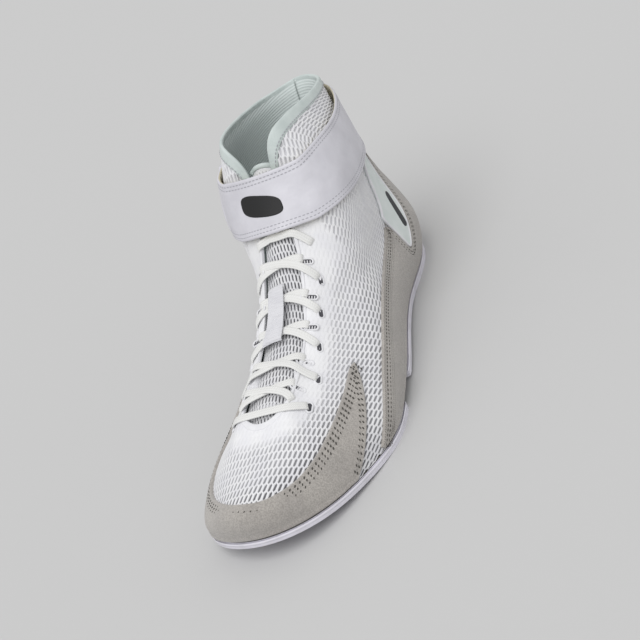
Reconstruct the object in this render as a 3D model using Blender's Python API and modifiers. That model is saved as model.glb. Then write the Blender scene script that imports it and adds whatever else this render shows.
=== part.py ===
"""Wrestling shoe for the left foot, standing on its split rubber sole.

The upper is one hollow wall lofted through five loops round the last, from the
feather line at the sole up to the throat edge and the collar. Every overlay,
the strap, the tongue and the laces are worked out from the same surface.

Frame: metres, +Z up, toe towards -Y, the outer (lateral) side at +X.
The origin is on the floor in the middle of the heel's tread.
"""
import bpy
import bmesh
import numpy as np
from collections import namedtuple
from mathutils import Vector

# Driving sizes of the last
LAST_LENGTH = 0.277
BALL_WIDTH = 0.097
COLLAR_HEIGHT = 0.140
TOE_SWING = 0.009
TOE_SPRING = 0.012
ARCH_RISE = 0.0045
HEEL_REST = 0.033
# Height of the feather line above the floor, thicknesses of the layers, clearances
FEATHER_HEIGHT = 0.0042
UPPER_WALL = 0.0026
SUEDE_THICK = 0.0011
MINT_THICK = 0.0008
STRAP_THICK = 0.0018
TONGUE_THICK = 0.0030
INSOLE_THICK = 0.0035
BOARD_THICK = 0.0010
GAP = 0.0003

RIBS = 22
KNOTS = np.array([0.0, 0.14, 0.42, 0.72, 1.0])

# Feather line: along is a share of the last's length, widths of the ball width
Feather = namedtuple("Feather", "along medial lateral")
FEATHER = [
    Feather(0.000, 0.000, 0.000),
    Feather(0.037, 0.208, 0.182),
    Feather(0.128, 0.320, 0.262),
    Feather(0.230, 0.333, 0.269),
    Feather(0.320, 0.296, 0.310),
    Feather(0.412, 0.270, 0.375),
    Feather(0.518, 0.325, 0.441),
    Feather(0.631, 0.432, 0.496),
    Feather(0.725, 0.507, 0.521),
    Feather(0.835, 0.502, 0.435),
    Feather(0.944, 0.363, 0.282),
    Feather(0.996, 0.000, 0.000),
]
# Loops of the upper: up is a share of the collar height, counted from the feather line
Rib = namedtuple("Rib", "along out up")
LOW = [
    Rib(-0.020, 0.000, 0.115),
    Rib(0.016, 0.213, 0.119),
    Rib(0.099, 0.338, 0.116),
    Rib(0.206, 0.368, 0.117),
    Rib(0.319, 0.353, 0.119),
    Rib(0.428, 0.356, 0.118),
    Rib(0.535, 0.407, 0.113),
    Rib(0.638, 0.483, 0.098),
    Rib(0.738, 0.510, 0.078),
    Rib(0.845, 0.445, 0.059),
    Rib(0.946, 0.310, 0.062),
    Rib(1.001, 0.000, 0.079),
]
MIDDLE = [
    Rib(-0.018, 0.000, 0.359),
    Rib(0.026, 0.182, 0.372),
    Rib(0.114, 0.292, 0.379),
    Rib(0.205, 0.328, 0.363),
    Rib(0.300, 0.320, 0.333),
    Rib(0.404, 0.334, 0.306),
    Rib(0.501, 0.358, 0.273),
    Rib(0.595, 0.382, 0.233),
    Rib(0.698, 0.388, 0.201),
    Rib(0.818, 0.360, 0.188),
    Rib(0.914, 0.249, 0.182),
    Rib(0.974, 0.000, 0.192),
]
HIGH = [
    Rib(0.030, 0.000, 0.672),
    Rib(0.054, 0.160, 0.677),
    Rib(0.122, 0.288, 0.681),
    Rib(0.229, 0.366, 0.685),
    Rib(0.334, 0.363, 0.645),
    Rib(0.411, 0.276, 0.539),
    Rib(0.496, 0.236, 0.431),
    Rib(0.599, 0.240, 0.357),
    Rib(0.696, 0.243, 0.305),
    Rib(0.791, 0.231, 0.281),
    Rib(0.861, 0.170, 0.270),
    Rib(0.889, 0.000, 0.266),
]
TOP = [
    Rib(-0.002, 0.000, 0.891),
    Rib(0.024, 0.138, 0.894),
    Rib(0.080, 0.225, 0.918),
    Rib(0.187, 0.260, 0.964),
    Rib(0.320, 0.182, 1.001),
    Rib(0.350, 0.081, 0.867),
    Rib(0.434, 0.110, 0.638),
    Rib(0.526, 0.128, 0.480),
    Rib(0.616, 0.143, 0.391),
    Rib(0.707, 0.160, 0.356),
    Rib(0.780, 0.127, 0.332),
    Rib(0.809, 0.000, 0.317),
]
# How much of the sole's own asymmetry and rise each loop keeps
SIDE_SHARE = [1.0, 0.9, 0.45, 0.1, 0.0]
RISE_SHARE = [1.0, 1.0, 0.6, 0.2, 0.0]


def swing(along):
    """Sideways bend of the last's centre line towards the big toe."""
    reach = np.clip((along - 0.42) / 0.58, 0.0, 1.0)
    return -TOE_SWING * reach * reach * (1.6 - 0.6 * reach)


def sole_lift(along):
    """Toe spring and arch, zero on the heel's and the ball's flat spots."""
    toe = np.clip((along - 0.72) / 0.28, 0.0, None)
    arch = np.clip(1.0 - abs(along - 0.42) / 0.22, 0.0, 1.0)
    return TOE_SPRING * toe ** 2 + ARCH_RISE * (3 * arch ** 2 - 2 * arch ** 3)


def loop_points(index):
    """The 22 rib points of one loop: heel back, lateral side, toe, medial side."""
    table = [FEATHER, LOW, MIDDLE, HIGH, TOP][index]
    sides = {"medial": [], "lateral": []}
    for foot, row in zip(FEATHER, table):
        lift = sole_lift(np.array(row.along))
        mean = (foot.medial + foot.lateral) / 2
        for side, sign in (("medial", -1), ("lateral", 1)):
            if index == 0:
                out = getattr(foot, side)
                height = FEATHER_HEIGHT + lift
            else:
                out = row.out + SIDE_SHARE[index] * (getattr(foot, side) - mean)
                height = FEATHER_HEIGHT + row.up * COLLAR_HEIGHT + RISE_SHARE[index] * lift
            if row is table[0] or row is table[-1]:
                out = 0.0
            x = swing(row.along) + sign * out * BALL_WIDTH
            sides[side].append((x, HEEL_REST - row.along * LAST_LENGTH, height))
    return np.array(sides["lateral"] + sides["medial"][-2:0:-1])


def ring_bends(points):
    """Second derivatives of a closed cubic spline through evenly spaced points."""
    count = len(points)
    matrix = 4 * np.eye(count) + np.roll(np.eye(count), 1, 0) + np.roll(np.eye(count), -1, 0)
    return np.linalg.solve(matrix, 6 * (np.roll(points, -1, 0) - 2 * points + np.roll(points, 1, 0)))


def ring_at(points, bends, u):
    """Point of the closed spline at u, counted in ribs."""
    start = np.floor(u).astype(int) % len(points)
    stop = (start + 1) % len(points)
    b = (u - np.floor(u))[:, None]
    a = 1 - b
    curve = (a ** 3 - a) * bends[start] + (b ** 3 - b) * bends[stop]
    return a * points[start] + b * points[stop] + curve / 6


def rail_at(knots, values, v):
    """Natural cubic spline over uneven knots: values has one row a knot, v one entry a column."""
    count = len(knots)
    matrix = np.eye(count)
    right = np.zeros_like(values)
    for i in range(1, count - 1):
        before = knots[i] - knots[i - 1]
        after = knots[i + 1] - knots[i]
        matrix[i, i - 1:i + 2] = before, 2 * (before + after), after
        right[i] = 6 * ((values[i + 1] - values[i]) / after - (values[i] - values[i - 1]) / before)
    bends = np.linalg.solve(matrix, right.reshape(count, -1)).reshape(values.shape)
    k = np.clip(np.searchsorted(knots, v, side="right") - 1, 0, count - 2)
    step = (knots[k + 1] - knots[k])[:, None]
    a = (knots[k + 1] - v)[:, None] / step
    b = 1 - a
    column = np.arange(len(v))
    curve = (a ** 3 - a) * bends[k, column] + (b ** 3 - b) * bends[k + 1, column]
    return a * values[k, column] + b * values[k + 1, column] + curve * step ** 2 / 6


LOOPS = [loop_points(index) for index in range(5)]
BENDS = [ring_bends(points) for points in LOOPS]


def upper_at(u, v):
    """Outer surface of the upper: u counts ribs round the last, v runs from sole to top edge."""
    u, v = np.broadcast_arrays(np.asarray(u, float), np.asarray(v, float))
    rings = np.array([ring_at(p, b, u.ravel()) for p, b in zip(LOOPS, BENDS)])
    return rail_at(KNOTS, rings, v.ravel()).reshape(u.shape + (3,))


def upper_normal(u, v):
    """Outward unit normal of the upper's surface."""
    step = 0.004
    along = upper_at(u + step, v) - upper_at(u - step, v)
    rising = upper_at(u, v + step) - upper_at(u, v - step)
    normal = np.cross(rising, along)
    return normal / np.linalg.norm(normal, axis=-1, keepdims=True)


def skin_at(u, c):
    """Upper's surface carried on across the throat, for u from the heel (0) to the toe (11).

    c counts across the foot: beyond 1 it is the lateral wall, four steps deep, beyond
    -1 the medial wall, and between them a smooth bridge over the throat.
    """
    u, c = np.broadcast_arrays(np.asarray(u, float), np.asarray(c, float))
    v = 1.0 - (np.clip(abs(c), 1.0, 5.0) - 1.0) / 4.0
    wall = upper_at(np.where(c >= 0, u, RIBS - u), v)
    lateral = upper_at(u, 1.0)
    medial = upper_at(RIBS - u, 1.0)
    chord = np.linalg.norm(lateral - medial, axis=-1, keepdims=True)
    leave = medial - upper_at(RIBS - u, 0.97)
    arrive = upper_at(u, 0.97) - lateral
    leave = leave / np.linalg.norm(leave, axis=-1, keepdims=True) * chord
    arrive = arrive / np.linalg.norm(arrive, axis=-1, keepdims=True) * chord
    t = ((np.clip(c, -1.0, 1.0) + 1.0) / 2.0)[..., None]
    bridge = (2 * t ** 3 - 3 * t ** 2 + 1) * medial + (3 * t ** 2 - 2 * t ** 3) * lateral
    bridge = bridge + (t ** 3 - 2 * t ** 2 + t) * leave + (t ** 3 - t ** 2) * arrive
    return np.where(abs(c)[..., None] < 1.0, bridge, wall)


def skin_normal(u, c):
    """Outward unit normal of skin_at."""
    across = skin_at(u, c + 0.03) - skin_at(u, c - 0.03)
    along = skin_at(u + 0.03, c) - skin_at(u - 0.03, c)
    normal = np.cross(along, across)
    return normal / np.linalg.norm(normal, axis=-1, keepdims=True)


def collection(name):
    group = bpy.data.collections.new(name)
    bpy.context.scene.collection.children.link(group)
    return group


for stale in list(bpy.data.objects):
    bpy.data.objects.remove(stale)
PARTS = collection("wrestling_shoe")
CUTTERS = collection("cutters")


def material(name, colour, roughness):
    """Principled material from a linear colour."""
    made = bpy.data.materials.new(name)
    made.use_nodes = True
    shader = made.node_tree.nodes["Principled BSDF"]
    shader.inputs["Base Color"].default_value = (*colour, 1.0)
    shader.inputs["Roughness"].default_value = roughness
    shader.inputs["Metallic"].default_value = 0.0
    return made


MESH_CLOTH = material("mesh_cloth", (0.80, 0.80, 0.82), 0.75)
SUEDE = material("suede", (0.35, 0.34, 0.32), 0.95)
MINT_CLOTH = material("mint_cloth", (0.66, 0.72, 0.71), 0.70)
SMOOTH_SYNTHETIC = material("smooth_synthetic", (0.78, 0.78, 0.82), 0.45)
LACE_WEAVE = material("lace_weave", (0.82, 0.83, 0.82), 0.80)
RUBBER = material("rubber", (0.76, 0.75, 0.80), 0.50)
FOAM = material("foam", (0.55, 0.58, 0.58), 0.85)


def grid_object(name, points, finish, closed=False):
    """Quads through a grid of points: rows run along u, columns along v."""
    mesh = bmesh.new()
    grid = [[mesh.verts.new(p) for p in row] for row in points]
    count = len(grid)
    for i in range(count if closed else count - 1):
        j = (i + 1) % count
        for k in range(len(grid[i]) - 1):
            mesh.faces.new((grid[i][k], grid[i][k + 1], grid[j][k + 1], grid[j][k]))
    return finish_mesh(name, mesh, finish)


def finish_mesh(name, mesh, finish, group=PARTS):
    data = bpy.data.meshes.new(name)
    mesh.to_mesh(data)
    mesh.free()
    data.materials.append(finish)
    made = bpy.data.objects.new(name, data)
    group.objects.link(made)
    data.shade_smooth()
    return made


def thicken(made, thickness):
    """Solidify outward from the surface for a positive thickness, inward for a negative one."""
    shell = made.modifiers.new("Thickness", "SOLIDIFY")
    shell.thickness = abs(thickness)
    shell.offset = 1.0 if thickness > 0 else -1.0
    return made


def level_normal(u, v):
    """Upper's normal, turned level at the feather line so that walls end on the sole."""
    normal = upper_normal(u, v)
    normal[..., 2] *= np.clip(np.asarray(v) / 0.10, 0.0, 1.0)
    return normal / np.linalg.norm(normal, axis=-1, keepdims=True)


# Upper: one hollow wall, open at collar, throat and underneath
UPPER_COLUMNS = 80
UPPER_ROWS = 12


def rising_rows(count):
    """Steps from sole to top edge, closer together where the wall turns in under the foot."""
    return np.linspace(0, 1, count) ** 1.15


def build_upper():
    u = np.linspace(0, RIBS, UPPER_COLUMNS, endpoint=False)[:, None]
    v = rising_rows(UPPER_ROWS)[None, :]
    u, v = np.broadcast_arrays(u, v)
    outer = upper_at(u, v)
    inner = outer - UPPER_WALL * level_normal(u, v)
    section = np.concatenate([outer, inner[:, ::-1], outer[:, :1]], axis=1)
    made = grid_object("upper", section, MESH_CLOTH, closed=True)
    mesh = bmesh.new()
    mesh.from_mesh(made.data)
    bmesh.ops.remove_doubles(mesh, verts=mesh.verts, dist=0.00001)
    mesh.to_mesh(made.data)
    mesh.free()


# Overlays on the upper: a row for each cut line from the bottom edge to the top edge
OVERLAY_LIFT = 3 * GAP
Cut = namedtuple("Cut", "low_rib low high_rib high")
TOE_CAP = [
    Cut(9.14, 0.012, 7.36, 0.500),
    Cut(9.24, 0.012, 7.72, 0.502),
    Cut(9.44, 0.012, 8.28, 0.480),
    Cut(9.72, 0.012, 8.90, 0.452),
    Cut(10.05, 0.012, 9.50, 0.412),
    Cut(10.40, 0.012, 10.08, 0.360),
    Cut(10.72, 0.012, 10.60, 0.345),
    Cut(11.00, 0.012, 11.00, 0.392),
    Cut(11.28, 0.012, 11.40, 0.404),
    Cut(11.60, 0.012, 11.92, 0.390),
    Cut(11.95, 0.012, 12.50, 0.412),
    Cut(12.28, 0.012, 13.10, 0.452),
    Cut(12.56, 0.012, 13.72, 0.480),
    Cut(12.76, 0.012, 14.28, 0.502),
    Cut(12.86, 0.012, 14.64, 0.500),
]
# Lateral half of the heel counter, back centre first: its side notch holds the mint panel
HEEL_COUNTER = [
    Cut(0.00, 0.012, 0.00, 0.592),
    Cut(0.60, 0.012, 0.60, 0.592),
    Cut(1.20, 0.012, 1.20, 0.592),
    Cut(1.74, 0.012, 1.74, 0.592),
    Cut(1.86, 0.012, 1.86, 0.460),
    Cut(2.05, 0.012, 2.05, 0.330),
    Cut(2.35, 0.012, 2.35, 0.255),
    Cut(2.65, 0.012, 2.65, 0.205),
    Cut(2.92, 0.012, 2.92, 0.165),
    Cut(3.10, 0.012, 3.10, 0.225),
    Cut(3.20, 0.012, 3.20, 0.390),
    Cut(3.60, 0.012, 3.60, 0.350),
    Cut(4.40, 0.012, 4.40, 0.315),
    Cut(5.20, 0.012, 5.20, 0.298),
    Cut(6.00, 0.012, 6.00, 0.290),
    Cut(6.60, 0.012, 6.60, 0.282),
    Cut(7.16, 0.012, 7.16, 0.262),
    Cut(7.66, 0.012, 7.66, 0.208),
    Cut(8.10, 0.012, 8.10, 0.120),
    Cut(8.40, 0.012, 8.40, 0.045),
]
SIDE_PANEL = [
    Cut(1.95, 0.430, 1.86, 0.592),
    Cut(2.10, 0.328, 2.05, 0.600),
    Cut(2.36, 0.272, 2.30, 0.606),
    Cut(2.62, 0.226, 2.52, 0.600),
    Cut(2.86, 0.186, 2.72, 0.485),
    Cut(2.96, 0.186, 2.90, 0.438),
    Cut(3.05, 0.230, 3.05, 0.420),
    Cut(3.14, 0.380, 3.14, 0.405),
]
# Binding along the collar's edge, from the back centre to the front of the lateral side
COLLAR_BINDING = [
    Cut(0.00, 0.955, 0.00, 0.998),
    Cut(0.70, 0.955, 0.70, 0.998),
    Cut(1.40, 0.955, 1.40, 0.998),
    Cut(2.10, 0.955, 2.10, 0.998),
    Cut(2.80, 0.955, 2.80, 0.998),
    Cut(3.50, 0.952, 3.50, 0.998),
    Cut(4.10, 0.948, 4.10, 0.998),
    Cut(4.60, 0.940, 4.60, 0.998),
    Cut(5.10, 0.930, 5.10, 0.998),
    Cut(5.60, 0.925, 5.60, 0.998),
]


def mirrored(cuts):
    """The same cuts on the medial side."""
    return [Cut(-c.low_rib, c.low, -c.high_rib, c.high) for c in reversed(cuts)]


def round_the_heel(cuts):
    """Cuts that begin at the back centre, carried on over both sides."""
    return mirrored(cuts)[:-1] + cuts


def overlay(name, cuts, rows, steps, thickness, finish):
    """Patch of the upper's own surface between the cuts, a little above it."""
    table = np.array(cuts)
    place = np.linspace(0, len(cuts) - 1, (len(cuts) - 1) * steps + 1)
    low_rib, low, high_rib, high = (np.interp(place, range(len(cuts)), table[:, k]) for k in range(4))
    t = rising_rows(rows)[None, :]
    u = low_rib[:, None] + (high_rib - low_rib)[:, None] * t
    v = low[:, None] + (high - low)[:, None] * t
    points = upper_at(u, v) + OVERLAY_LIFT * level_normal(u, v)
    return thicken(grid_object(name, points, finish), thickness)


# Ankle strap: lower and upper edge, back centre first, c as in skin_at, lift as a share of STRAP_LIFT
STRAP_LIFT = 0.0048
Band = namedtuple("Band", "low_rib low_c high_rib high_c lift")
STRAP = [
    Band(0.00, 2.56, 0.00, 1.22, 0.70),
    Band(1.00, 2.56, 0.90, 1.23, 0.66),
    Band(1.90, 2.55, 1.70, 1.34, 0.56),
    Band(2.60, 2.48, 2.40, 1.46, 0.50),
    Band(3.46, 2.35, 3.00, 1.50, 0.48),
    Band(4.20, 2.12, 3.50, 1.47, 0.48),
    Band(4.74, 1.90, 4.05, 1.42, 0.48),
    Band(5.25, 1.64, 4.50, 1.30, 0.67),
    Band(5.72, 1.25, 4.86, 1.12, 0.96),
    Band(6.02, 0.62, 5.10, 0.55, 1.00),
    Band(6.10, 0.00, 5.20, 0.00, 1.00),
]
STRAP_START = -4.10
STRAP_STOP = 15.60


def strap_point(place, t):
    """Inner face of the strap: place runs from the back centre over the lateral side."""
    fold = np.abs(np.mod(place + 10.0, 20.0) - 10.0)
    side = np.where(np.mod(place, 20.0) <= 10.0, 1.0, -1.0)
    table = np.array(STRAP)
    columns = (np.interp(fold, range(len(STRAP)), table[:, k]) for k in range(5))
    low_rib, low_c, high_rib, high_c, lift = columns
    u = low_rib + (high_rib - low_rib) * t
    c = side * (low_c + (high_c - low_c) * t)
    return skin_at(u, c) + STRAP_LIFT * lift[..., None] * skin_normal(np.maximum(u, 0.04), c)


def build_strap():
    place = np.linspace(STRAP_START, STRAP_STOP, 50)[:, None]
    t = np.linspace(0, 1, 5)[None, :]
    place, t = np.broadcast_arrays(place, t)
    points = strap_point(place, t)
    front = np.clip(np.abs(np.mod(place + 10.0, 20.0) - 10.0) - 6.4, 0.0, 1.0)[1:-1, :, None]
    for count in range(24):
        share = front if count > 1 else 1.0
        points[1:-1] += share * (points[:-2] - 2 * points[1:-1] + points[2:]) / 4
    thicken(grid_object("ankle_strap", points, SMOOTH_SYNTHETIC), STRAP_THICK)


# Tongue: under the throat's edges and up through the collar's front
TONGUE_SINK = 0.0016
TONGUE_CLEARANCE = 4 * GAP
TONGUE_TOP = 5.02
TONGUE_TOE = 10.20


def build_tongue():
    u = np.linspace(TONGUE_TOP, TONGUE_TOE, 17)[:, None]
    reach = np.interp(u, [TONGUE_TOP, 5.3, 6.3, 9.0, TONGUE_TOE], [0.88, 0.97, 1.40, 1.40, 1.18])
    c = np.linspace(1, -1, 9)[None, :] * reach
    u, c = np.broadcast_arrays(u, c)
    flank = np.clip((abs(c) - 0.2) / 0.6, 0, 1)
    below_wall = UPPER_WALL + TONGUE_CLEARANCE
    sink = TONGUE_SINK + (below_wall - TONGUE_SINK) * flank * flank * (3 - 2 * flank)
    points = skin_at(u, c) - sink[..., None] * skin_normal(u, c)
    round_toe = np.linspace(TONGUE_TOE + 0.25, RIBS - TONGUE_TOE - 0.25, points.shape[1])
    for v in (0.945, 0.890, 0.835):
        row = upper_at(round_toe, v) - (below_wall + GAP) * upper_normal(round_toe, v)
        points = np.concatenate([points, row[None]])
    thicken(grid_object("tongue", points, MESH_CLOTH), -TONGUE_THICK)


# Sole: perimeter of a unit, with a rung across from lateral to medial at every station
ACROSS = np.array([-1.0, -0.5, 0.0, 0.5, 1.0])
BOARD_TOP = FEATHER_HEIGHT - GAP
OUTSOLE_TOP = BOARD_TOP - BOARD_THICK - GAP
# Side of the rubber from the floor up: rise is a share of its height, out of the rim's overhang
SOLE_RIM = 0.0019
Level = namedtuple("Level", "rise out")
SOLE_SIDE = [
    Level(0.00, 0.00),
    Level(0.18, 0.77),
    Level(0.42, 0.95),
    Level(0.49, 0.50),
    Level(0.59, 0.50),
    Level(0.67, 1.00),
    Level(1.00, 0.85),
]


def rungs(ribs, bow):
    """Plan of a sole unit: for each rib a line of points from medial to lateral."""
    u = np.asarray(ribs, float)
    lateral = upper_at(u, 0.0)
    medial = upper_at(RIBS - u, 0.0)
    share = (ACROSS + 1) / 2
    plan = medial[:, None] + (lateral - medial)[:, None] * share[None, :, None]
    closed_first = u[0] == 0.0
    order = np.linspace(0, 1, len(u)) if closed_first else np.linspace(1, 0, len(u))
    plan[..., 1] += bow * (1 - ACROSS ** 2)[None, :] * np.clip(order * 3 - 2, 0, 1)[:, None]
    return plan


def sole_unit(name, ribs, bow):
    """Rubber under the heel or the forefoot, with a lip up round the board's edge."""
    profile = [(row.rise * BOARD_TOP, row.out * SOLE_RIM) for row in SOLE_SIDE]
    profile += [(BOARD_TOP, GAP), (OUTSOLE_TOP, GAP)]
    plan = rungs(ribs, bow)
    tip_first = ribs[0] == 0.0
    rows = len(ribs)
    lateral = [(j, 4) for j in range(rows)]
    medial = [(j, 0) for j in range(rows)]
    if tip_first:
        ring = lateral + [(rows - 1, 3), (rows - 1, 2), (rows - 1, 1)] + medial[:0:-1]
    elif ribs[-1] == RIBS / 2:
        ring = [(0, 1), (0, 2), (0, 3)] + lateral + medial[-2::-1]
    flat = np.array([plan[j, k, :2] for j, k in ring])
    ahead = np.roll(flat, -1, 0) - np.roll(flat, 1, 0)
    outward = np.stack([-ahead[:, 1], ahead[:, 0]], 1)
    outward /= np.linalg.norm(outward, axis=1, keepdims=True)
    if (outward * (flat - flat.mean(0))).sum() < 0:
        outward = -outward
    end = rows - 1 if tip_first else 0
    ends = np.array([j == end and not (0 < j < rows - 1) for j, k in ring])
    lift = sole_lift((HEEL_REST - flat[:, 1]) / LAST_LENGTH)
    mesh = bmesh.new()
    loops = []
    for level, out in profile:
        height = np.where(ends & (level > OUTSOLE_TOP), OUTSOLE_TOP, level)
        corner = np.column_stack([flat + outward * out, height + lift])
        loops.append([mesh.verts.new(p) for p in corner])
    for low, high in zip(loops, loops[1:]):
        for i in range(len(ring)):
            j = (i + 1) % len(ring)
            mesh.faces.new((low[i], low[j], high[j], high[i]))
    for loop, height in ((loops[0], 0.0), (loops[-1], OUTSOLE_TOP)):
        spot = {key: vert for key, vert in zip(ring, loop)}
        if tip_first:
            spot.update({(0, k): spot[(0, 4)] for k in range(5)})
        else:
            spot.update({(rows - 1, k): spot[(rows - 1, 4)] for k in range(5)})
        for j in range(rows):
            for k in (1, 2, 3):
                if (j, k) not in spot:
                    share = (ACROSS[k] + 1) / 2
                    a, b = spot[(j, 0)].co, spot[(j, 4)].co
                    y = plan[j, k, 1] - plan[j, 0, 1] * (1 - share) - plan[j, 4, 1] * share
                    point = a.lerp(b, share) + Vector((0, y, 0))
                    point.z = height + float(sole_lift((HEEL_REST - point.y) / LAST_LENGTH))
                    spot[(j, k)] = mesh.verts.new(point)
        for j in range(rows - 1):
            for k in range(4):
                corners = [spot[(j, k)], spot[(j, k + 1)], spot[(j + 1, k + 1)], spot[(j + 1, k)]]
                kept = list(dict.fromkeys(corners))
                if len(kept) > 2:
                    mesh.faces.new(kept)
    bmesh.ops.remove_doubles(mesh, verts=mesh.verts, dist=0.00002)
    bmesh.ops.dissolve_degenerate(mesh, edges=mesh.edges, dist=0.00001)
    bmesh.ops.recalc_face_normals(mesh, faces=mesh.faces)
    made = finish_mesh(name, mesh, RUBBER)
    made.data.set_sharp_from_angle(angle=0.6)
    return made


HEEL_STOP = 6.14
FOREFOOT_START = 7.02
SOLE_BOW = 0.006
# Tread grooves across the sole: along is a share of the length, width of the ball width
Groove = namedtuple("Groove", "along width")
HEEL_GROOVES = [
    Groove(0.055, 0.26),
    Groove(0.095, 0.36),
    Groove(0.143, 0.42),
    Groove(0.183, 0.42),
    Groove(0.223, 0.42),
]
FOREFOOT_GROOVES = [
    Groove(0.69, 0.66),
    Groove(0.73, 0.74),
    Groove(0.77, 0.74),
    Groove(0.81, 0.68),
    Groove(0.85, 0.60),
    Groove(0.89, 0.46),
]
GROOVE_WIDTH = 0.0030
GROOVE_DEPTH = 0.0010


def cut_grooves(made, grooves):
    """Shallow slots across the tread leave the lugs between them."""
    for number, groove in enumerate(grooves):
        bpy.ops.mesh.primitive_cube_add(size=1.0)
        box = bpy.context.active_object
        box.name = f"{made.name}_groove_{number}"
        for group in list(box.users_collection):
            group.objects.unlink(box)
        CUTTERS.objects.link(box)
        step = 0.002
        rise = sole_lift(groove.along + step) - sole_lift(groove.along - step)
        slope = -np.arctan2(rise, 2 * step * LAST_LENGTH)
        box.scale = (groove.width * BALL_WIDTH, GROOVE_WIDTH, 2 * GROOVE_DEPTH)
        box.rotation_euler = (slope, 0, 0)
        middle = swing(groove.along) + 0.01 * BALL_WIDTH
        box.location = (middle, HEEL_REST - groove.along * LAST_LENGTH, sole_lift(groove.along))
        box.display_type = "WIRE"
        box.hide_render = True
        cut = made.modifiers.new(box.name, "BOOLEAN")
        cut.operation = "DIFFERENCE"
        cut.object = box


def plate(name, inset, bottom, top, finish):
    """Full-length plate on the feather line's plan, as board or insole."""
    ribs = np.linspace(0, RIBS / 2, 34)
    count = len(ribs)
    ring = list(range(count)) + [-j for j in range(count - 2, 0, -1)]
    u = np.array([ribs[j] if j >= 0 else RIBS - ribs[-j] for j in ring])
    line = upper_at(u, 0.0)
    flat = line[:, :2]
    ahead = np.roll(flat, -1, 0) - np.roll(flat, 1, 0)
    outward = np.stack([-ahead[:, 1], ahead[:, 0]], 1)
    outward /= np.linalg.norm(outward, axis=1, keepdims=True)
    if (outward * (flat - flat.mean(0))).sum() < 0:
        outward = -outward
    flat = flat - outward * inset
    lift = line[:, 2] - FEATHER_HEIGHT
    mesh = bmesh.new()
    faces = []
    loops = []
    for height in (bottom, top):
        loops.append([mesh.verts.new((*p, height + z)) for p, z in zip(flat, lift)])
    total = len(ring)
    for i in range(total):
        j = (i + 1) % total
        mesh.faces.new((loops[0][i], loops[0][j], loops[1][j], loops[1][i]))
    for loop in loops:
        for i in range(count - 1):
            corners = [loop[i], loop[i + 1], loop[(total - i - 1) % total], loop[(total - i) % total]]
            mesh.faces.new(list(dict.fromkeys(corners)))
    bmesh.ops.recalc_face_normals(mesh, faces=mesh.faces)
    made = finish_mesh(name, mesh, finish)
    made.data.set_sharp_from_angle(angle=0.6)
    return made


INSOLE_INSET = UPPER_WALL + 5 * GAP
BOARD_INSET = 2 * GAP


# Laces: a row for each crossing, lateral slot by the throat and lateral hole further out
Row = namedtuple("Row", "slot_rib slot_c middle_rib hole_rib hole_c")
LACE_ROWS = [
    Row(9.20, 1.04, 9.72, 9.42, 1.30),
    Row(8.18, 1.32, 8.92, 8.04, 2.10),
    Row(7.35, 1.36, 7.98, 7.38, 1.90),
    Row(6.74, 1.32, 7.22, 6.68, 1.84),
    Row(6.17, 1.24, 6.55, 6.06, 1.80),
]
BAR_RIB = 8.73
BAR_MIDDLE = 10.45
BAR_C = 2.15
LACE_WIDTH = 0.0048
LACE_THICK = 0.0012
LACE_LIFT = 0.0016
OVER_ARCH = 0.00049
UNDER_ARCH = -0.00013


def strip(name, start, middle, stop, arch, group=PARTS):
    """Flat lace from start to stop, both (rib, c), past the middle rib, laid over the skin."""
    t = np.linspace(0, 1, 13)
    bulge = middle - (start[0] + stop[0]) / 2
    u = start[0] + (stop[0] - start[0]) * t + 4 * bulge * t * (1 - t)
    c = start[1] + (stop[1] - start[1]) * t
    normal = skin_normal(u, c)
    for _ in range(3):
        normal[1:-1] = (normal[:-2] + 2 * normal[1:-1] + normal[2:]) / 4
    spine = skin_at(u, c) + normal * (LACE_LIFT + arch * np.sin(np.pi * t) ** 2)[:, None]
    ahead = np.gradient(spine, axis=0)
    ahead /= np.linalg.norm(ahead, axis=1, keepdims=True)
    side = np.cross(normal, ahead)
    side /= np.linalg.norm(side, axis=1, keepdims=True)
    normal = np.cross(ahead, side)
    mesh = bmesh.new()
    loops = []
    for p, s, n in zip(spine, side * LACE_WIDTH / 2, normal * LACE_THICK / 2):
        loops.append([mesh.verts.new(q) for q in (p - s - n, p + s - n, p + s + n, p - s + n)])
    for low, high in zip(loops, loops[1:]):
        for k in range(4):
            mesh.faces.new((low[k], low[(k + 1) % 4], high[(k + 1) % 4], high[k]))
    mesh.faces.new(loops[0])
    mesh.faces.new(loops[-1])
    bmesh.ops.recalc_face_normals(mesh, faces=mesh.faces)
    return finish_mesh(name, mesh, LACE_WEAVE, group)


def build_laces():
    strip("lace_bar", (BAR_RIB, -BAR_C), BAR_MIDDLE, (BAR_RIB, BAR_C), 0.0)
    for number, row in enumerate(LACE_ROWS, start=1):
        start, stop = (row.slot_rib, -row.slot_c), (row.hole_rib, row.hole_c)
        over = strip(f"lace_cross_{number}", start, row.middle_rib, stop, OVER_ARCH)
        start, stop = (row.hole_rib, -row.hole_c), (row.slot_rib, row.slot_c)
        under = strip(f"lace_under_{number}", start, row.middle_rib, stop, UNDER_ARCH, CUTTERS)
        under.display_type = "WIRE"
        under.hide_render = True
        joined = over.modifiers.new("Crossing", "BOOLEAN")
        joined.operation = "UNION"
        joined.object = under


# Keeper: short webbing tab on the tongue, the laces of two rows run under it
KEEPER_TOP = 6.86
KEEPER_BOTTOM = 8.36
KEEPER_SIDES = (-0.56, 0.16)
KEEPER_LIFT = 0.0034
KEEPER_THICK = 0.0008


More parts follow.
